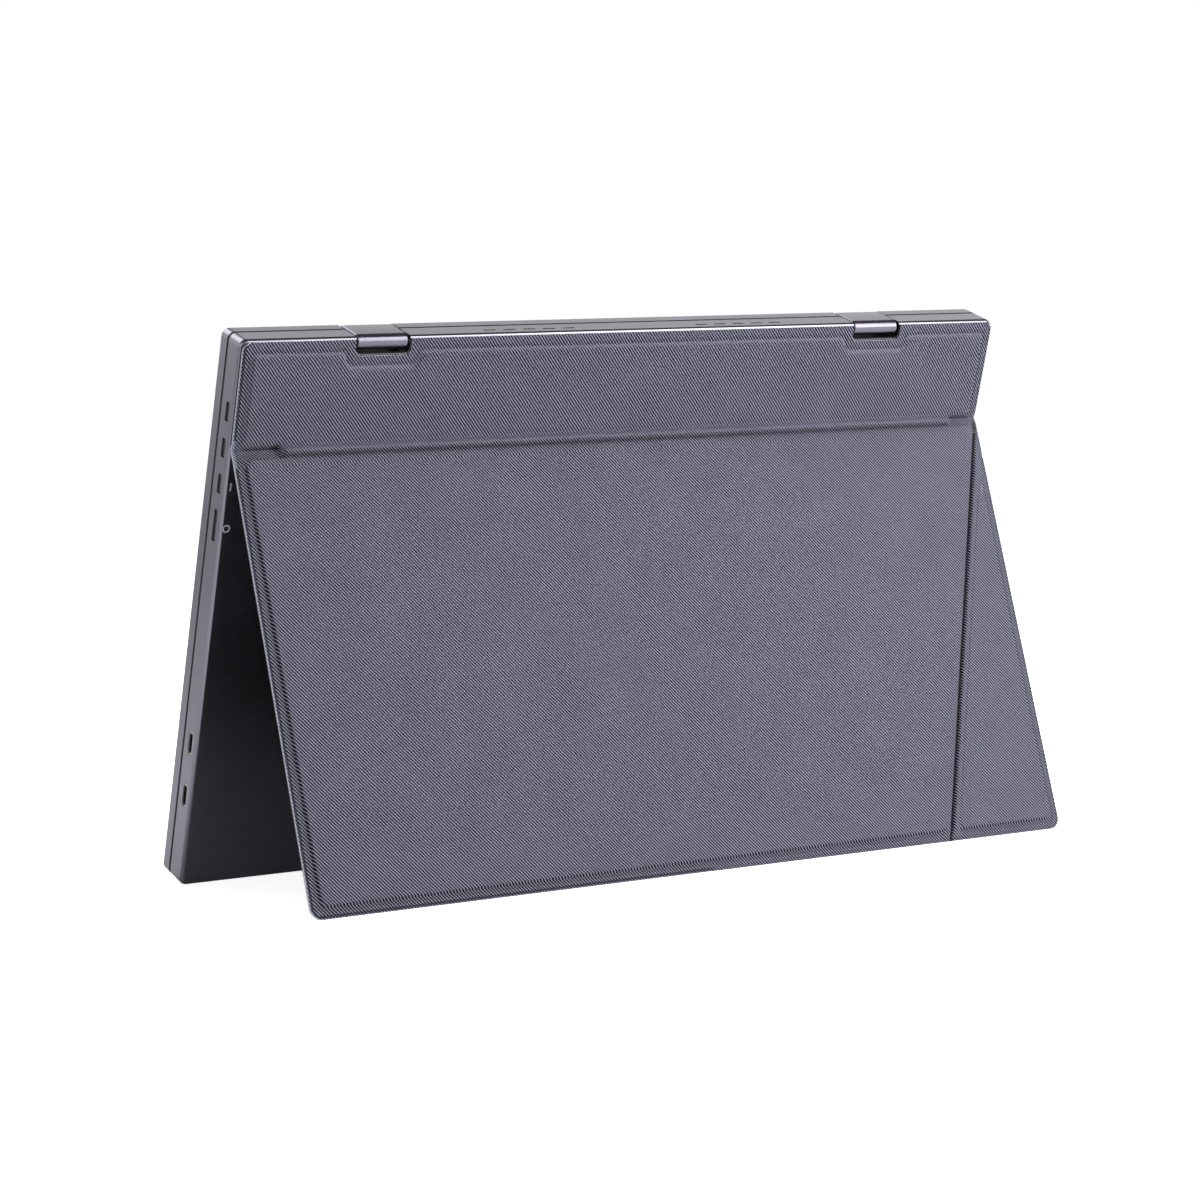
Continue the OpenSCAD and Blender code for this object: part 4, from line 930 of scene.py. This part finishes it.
a = np.radians(np.linspace(70, 0, 8))
cx, cy = SLAB_W / 2 - SLAB_R, SLAB_H - SLAB_R
bend = np.stack([cx + SLAB_R * np.cos(a), cy + SLAB_R * np.sin(a), np.cos(a), np.sin(a)], 1)
side_run = np.concatenate([bend, [[SLAB_W / 2, PIVOT_H + 1, 1, 0]]])
side_runs = [side_run, (side_run * [-1, 1, -1, 1])[::-1]]
# A black sliver along the cloth's sides: painted shade under the cloth's edge
edge_trim("cloth_edge_shade_line", "base", FINISHES["bezel"], sliver(3, 40, 7), side_runs)

# %% [markdown]
# ## Contacts, dust mesh and painted shade in the hinge wells
#
# Small things that give the scale. The tongue in each socket carries a row of gilt
# contacts, and the sound slots are backed by a black woven steel mesh that keeps
# dust out. A black plastic strip on the floor of each hinge well is painted shade:
# it makes the gap under the barrel look dark. All of them are boxes, made from
# arrays of corners.

# %% Contacts, dust mesh and painted shade in the hinge wells
def boxes(name, low, high, material, body):
    """Boxes in one mesh, from arrays of low and high corners: x, y up the slab, z from the back face."""
    low, high = np.atleast_2d(low).astype(float), np.atleast_2d(high).astype(float)
    pick = np.array([[i & 1, i >> 1 & 1, i >> 2 & 1] for i in range(8)])
    corners = low[:, None] * (1 - pick)[None] + high[:, None] * pick[None]
    quads = np.array([[0, 2, 3, 1], [4, 5, 7, 6], [0, 1, 5, 4], [2, 6, 7, 3], [0, 4, 6, 2], [1, 3, 7, 5]])
    faces = (quads[None] + 8 * np.arange(len(low))[:, None, None]).reshape(-1, 4)
    points = slab_space(corners[..., 0], corners[..., 1], -corners[..., 2]).reshape(-1, 3)
    made = new_piece(name, points, faces.tolist(), (material,))
    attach(made, body)
    return made


# Sockets: distance below the slab's top edge and above its back face, and the tongue's faces
PORT_DROPS, PORT_MID, TONGUE_FACES = (165.6, 187.8), 4.6, (-0.37, 0.35)
PAD_PITCH, PAD_W, PAD_LEN, PAD_THICK, PAD_START = 0.5, 0.25, 2.4, 0.02, 3.6
gilt = metal("contact gold over nickel", "#D9B45C", "#E6C673", 0.18, 0.26, 2, 0.1, 0.002, LINES)


def port_contacts():
    """Twelve pads on both faces of each tongue: 0.5 mm apart, 0.25 mm wide, 2.4 mm long."""
    x = np.full(12, SLAB_W / 2 - 0.2 - PAD_START)
    low, high = [], []
    for drop in PORT_DROPS:
        y = SLAB_H - drop + PAD_PITCH * (np.arange(12) - 5.5)
        for face in TONGUE_FACES:
            z = PORT_MID + face + 0 * x
            low.append(np.stack([x, y - PAD_W / 2, z], 1))
            high.append(np.stack([x + PAD_LEN, y + PAD_W / 2, z + PAD_THICK], 1))
    return boxes("port_contacts", np.concatenate(low), np.concatenate(high), gilt, "base")


port_contacts()


def wire_mesh():
    """Two crossed wave patterns give the wires' colour and relief.

    A wave repeats every 2 pi / 20 over its scale. Real wires, 0.5 mm apart, are too fine
    to show behind the slots, so they are drawn 3.1 mm apart.
    """
    made, tree = blank("dust mesh, blackened steel wire")
    place = add(tree, "ShaderNodeTexCoord").outputs["Object"]
    waves = [
        add(tree, "ShaderNodeTexWave", {"Vector": place, "Scale": 100.0}, bands_direction=way).outputs["Fac"]
        for way in ("X", "Y")
    ]
    both = add(tree, "ShaderNodeMath", {0: waves[0], 1: waves[1]}, operation="MAXIMUM")
    colour = add(tree, "ShaderNodeValToRGB", {"Fac": both}, [(0.4, "#050506"), (0.9, "#2A2A2D")])
    relief = add(tree, "ShaderNodeBump", {"Height": both, "Distance": 0.00008})
    links = {"Base Color": colour, "Normal": relief, "Roughness": 0.5, "Metallic": 0.6}
    shader = add(tree, "ShaderNodeBsdfPrincipled", links)
    add(tree, "ShaderNodeOutputMaterial", {"Surface": shader})
    return made


# The two groups of sound slots lie 50 mm left and right of the middle
SLOTS_X, MESH_HALF, MESH_Y, MESH_Z = 50.0, 23.0, (223.56, 223.74), (2.2, 6.6)
boxes(
    "dust_mesh",
    [[s * SLOTS_X - MESH_HALF, MESH_Y[0], MESH_Z[0]] for s in (1, -1)],
    [[s * SLOTS_X + MESH_HALF, MESH_Y[1], MESH_Z[1]] for s in (1, -1)],
    wire_mesh(),
    "base",
)

# A black strip on each hinge well's floor: painted shade under the barrel
half, well_floor = NOTCH_W / 2 - 2.5, SLAB_H - NOTCH_DROP
boxes(
    "hinge_well_shade",
    [[s * HINGE_X - half, well_floor + 0.01, 0.7] for s in (1, -1)],
    [[s * HINGE_X + half, well_floor + 0.12, BASE_T - 0.3] for s in (1, -1)],
    FINISHES["black_plastic"],
    "base",
)

# %% [markdown]
# ## Floor, lamps and world
#
# The photograph is a studio shot on white. The floor is plain white and keeps the
# object's soft shadow. Camera rays see a white world of strength 1. Mirror and glass
# rays see a slightly brighter one, up to 31 degrees above the horizon, and above that
# a dark ceiling, which draws a dark line along each rounded metal edge. Other rays see
# a dimmer world, so the object isn't washed out. Soft panels shape it: one overhead, a
# tall one at the right of the view with a dimmer one beside it, which the metal edges
# and hinges show as a bright line, a weak one at the left that opens up the shadows,
# and one behind, which lights the slabs' rounded corners.

# %% Floor and light
def floor_finish():
    """White paint, and plain white on top for camera rays, so that an unshadowed floor matches the backdrop."""
    made, tree = blank("matt white studio floor")
    colour = add(tree, "ShaderNodeValToRGB", {"Fac": grain(tree, 4)}, [(0.3, "#F7F7F8"), (0.7, "#FAFAFB")])
    paint = add(tree, "ShaderNodeBsdfPrincipled", {"Base Color": colour, "Roughness": 0.9, "Specular IOR Level": 0.1})
    rays = add(tree, "ShaderNodeLightPath").outputs["Is Camera Ray"]
    glow = add(tree, "ShaderNodeEmission", {"Color": (1, 1, 1, 1), "Strength": 0.85})
    clear = add(tree, "ShaderNodeEmission", {"Color": (0, 0, 0, 1), "Strength": 0.0})
    seen = add(tree, "ShaderNodeMixShader", {0: rays, 1: clear, 2: glow})
    both = add(tree, "ShaderNodeAddShader", {0: paint, 1: seen})
    add(tree, "ShaderNodeOutputMaterial", {"Surface": both})
    return made


floor_points = np.array([(-6, -8, 0), (6, -8, 0), (6, 4, 0), (-6, 4, 0)])
floor = new_piece("floor", floor_points, [(0, 1, 2, 3)], (floor_finish(),))


def panel(name, place, aim, width, height, power):
    """A soft rectangular light at place, turned to face aim."""
    lamp = bpy.data.lights.new(name, "AREA")
    lamp.shape, lamp.size, lamp.size_y, lamp.energy = "RECTANGLE", width, height, power
    made = bpy.data.objects.new(name, lamp)
    bpy.context.scene.collection.objects.link(made)
    back = np.array(place, float) - np.array(aim, float)
    back /= np.linalg.norm(back)
    side = np.cross([0, 0, 1.0], back)
    side /= np.linalg.norm(side)
    turn = np.eye(4)
    turn[:3, :3] = np.stack([side, np.cross(back, side), back], 1)
    turn[:3, 3] = place
    made.matrix_world = Matrix(turn.tolist())
    made.visible_camera = False
    return made


overhead = panel("overhead panel", (-0.55, 0.35, 1.35), (0, 0, 0.1), 1.2, 1.2, 23)
# Metal doesn't mirror this panel, which would wash out the dark line on the edges
overhead.visible_glossy = False
panel("tall panel at the right", (-0.6, 0.67, 0.55), (-0.02, 0, 0.15), 0.38, 0.85, 6.4)
panel("its dimmer neighbour", (-0.37, 0.875, 0.55), (0.21, 0.205, 0.15), 0.2, 0.85, 2)
panel("weak panel at the left", (1.5, 0.55, 0.45), (0.15, 0.05, 0.12), 0.6, 0.6, 1.5)
panel("rim panel behind", (0.4, -1.0, 1.2), (0, 0, 0.15), 0.8, 0.8, 7)

world = bpy.data.worlds.new("white studio, dark ceiling")
bpy.context.scene.world = world
world.use_nodes = True
tree = world.node_tree
tree.nodes.clear()
rays = add(tree, "ShaderNodeLightPath").outputs
mirror = add(tree, "ShaderNodeMath", {0: rays["Is Glossy Ray"], 1: rays["Is Transmission Ray"]}, operation="MAXIMUM")
way = add(tree, "ShaderNodeSeparateXYZ", {0: add(tree, "ShaderNodeTexCoord").outputs["Generated"]}).outputs["Z"]
links = {"Value": way, "From Min": 0.52, "From Max": 0.7, "To Min": 1.2, "To Max": 0.18}
ceiling = add(tree, "ShaderNodeMapRange", links)
strength = add(tree, "ShaderNodeMix", {0: mirror, 2: 0.25, 3: ceiling})
strength = add(tree, "ShaderNodeMix", {0: rays["Is Camera Ray"], 2: strength, 3: 1.0})
sky = add(tree, "ShaderNodeBackground", {"Color": (1, 1, 1, 1), "Strength": strength})
add(tree, "ShaderNodeOutputWorld", {"Surface": sky})
bpy.context.scene.view_settings.view_transform = "Standard"
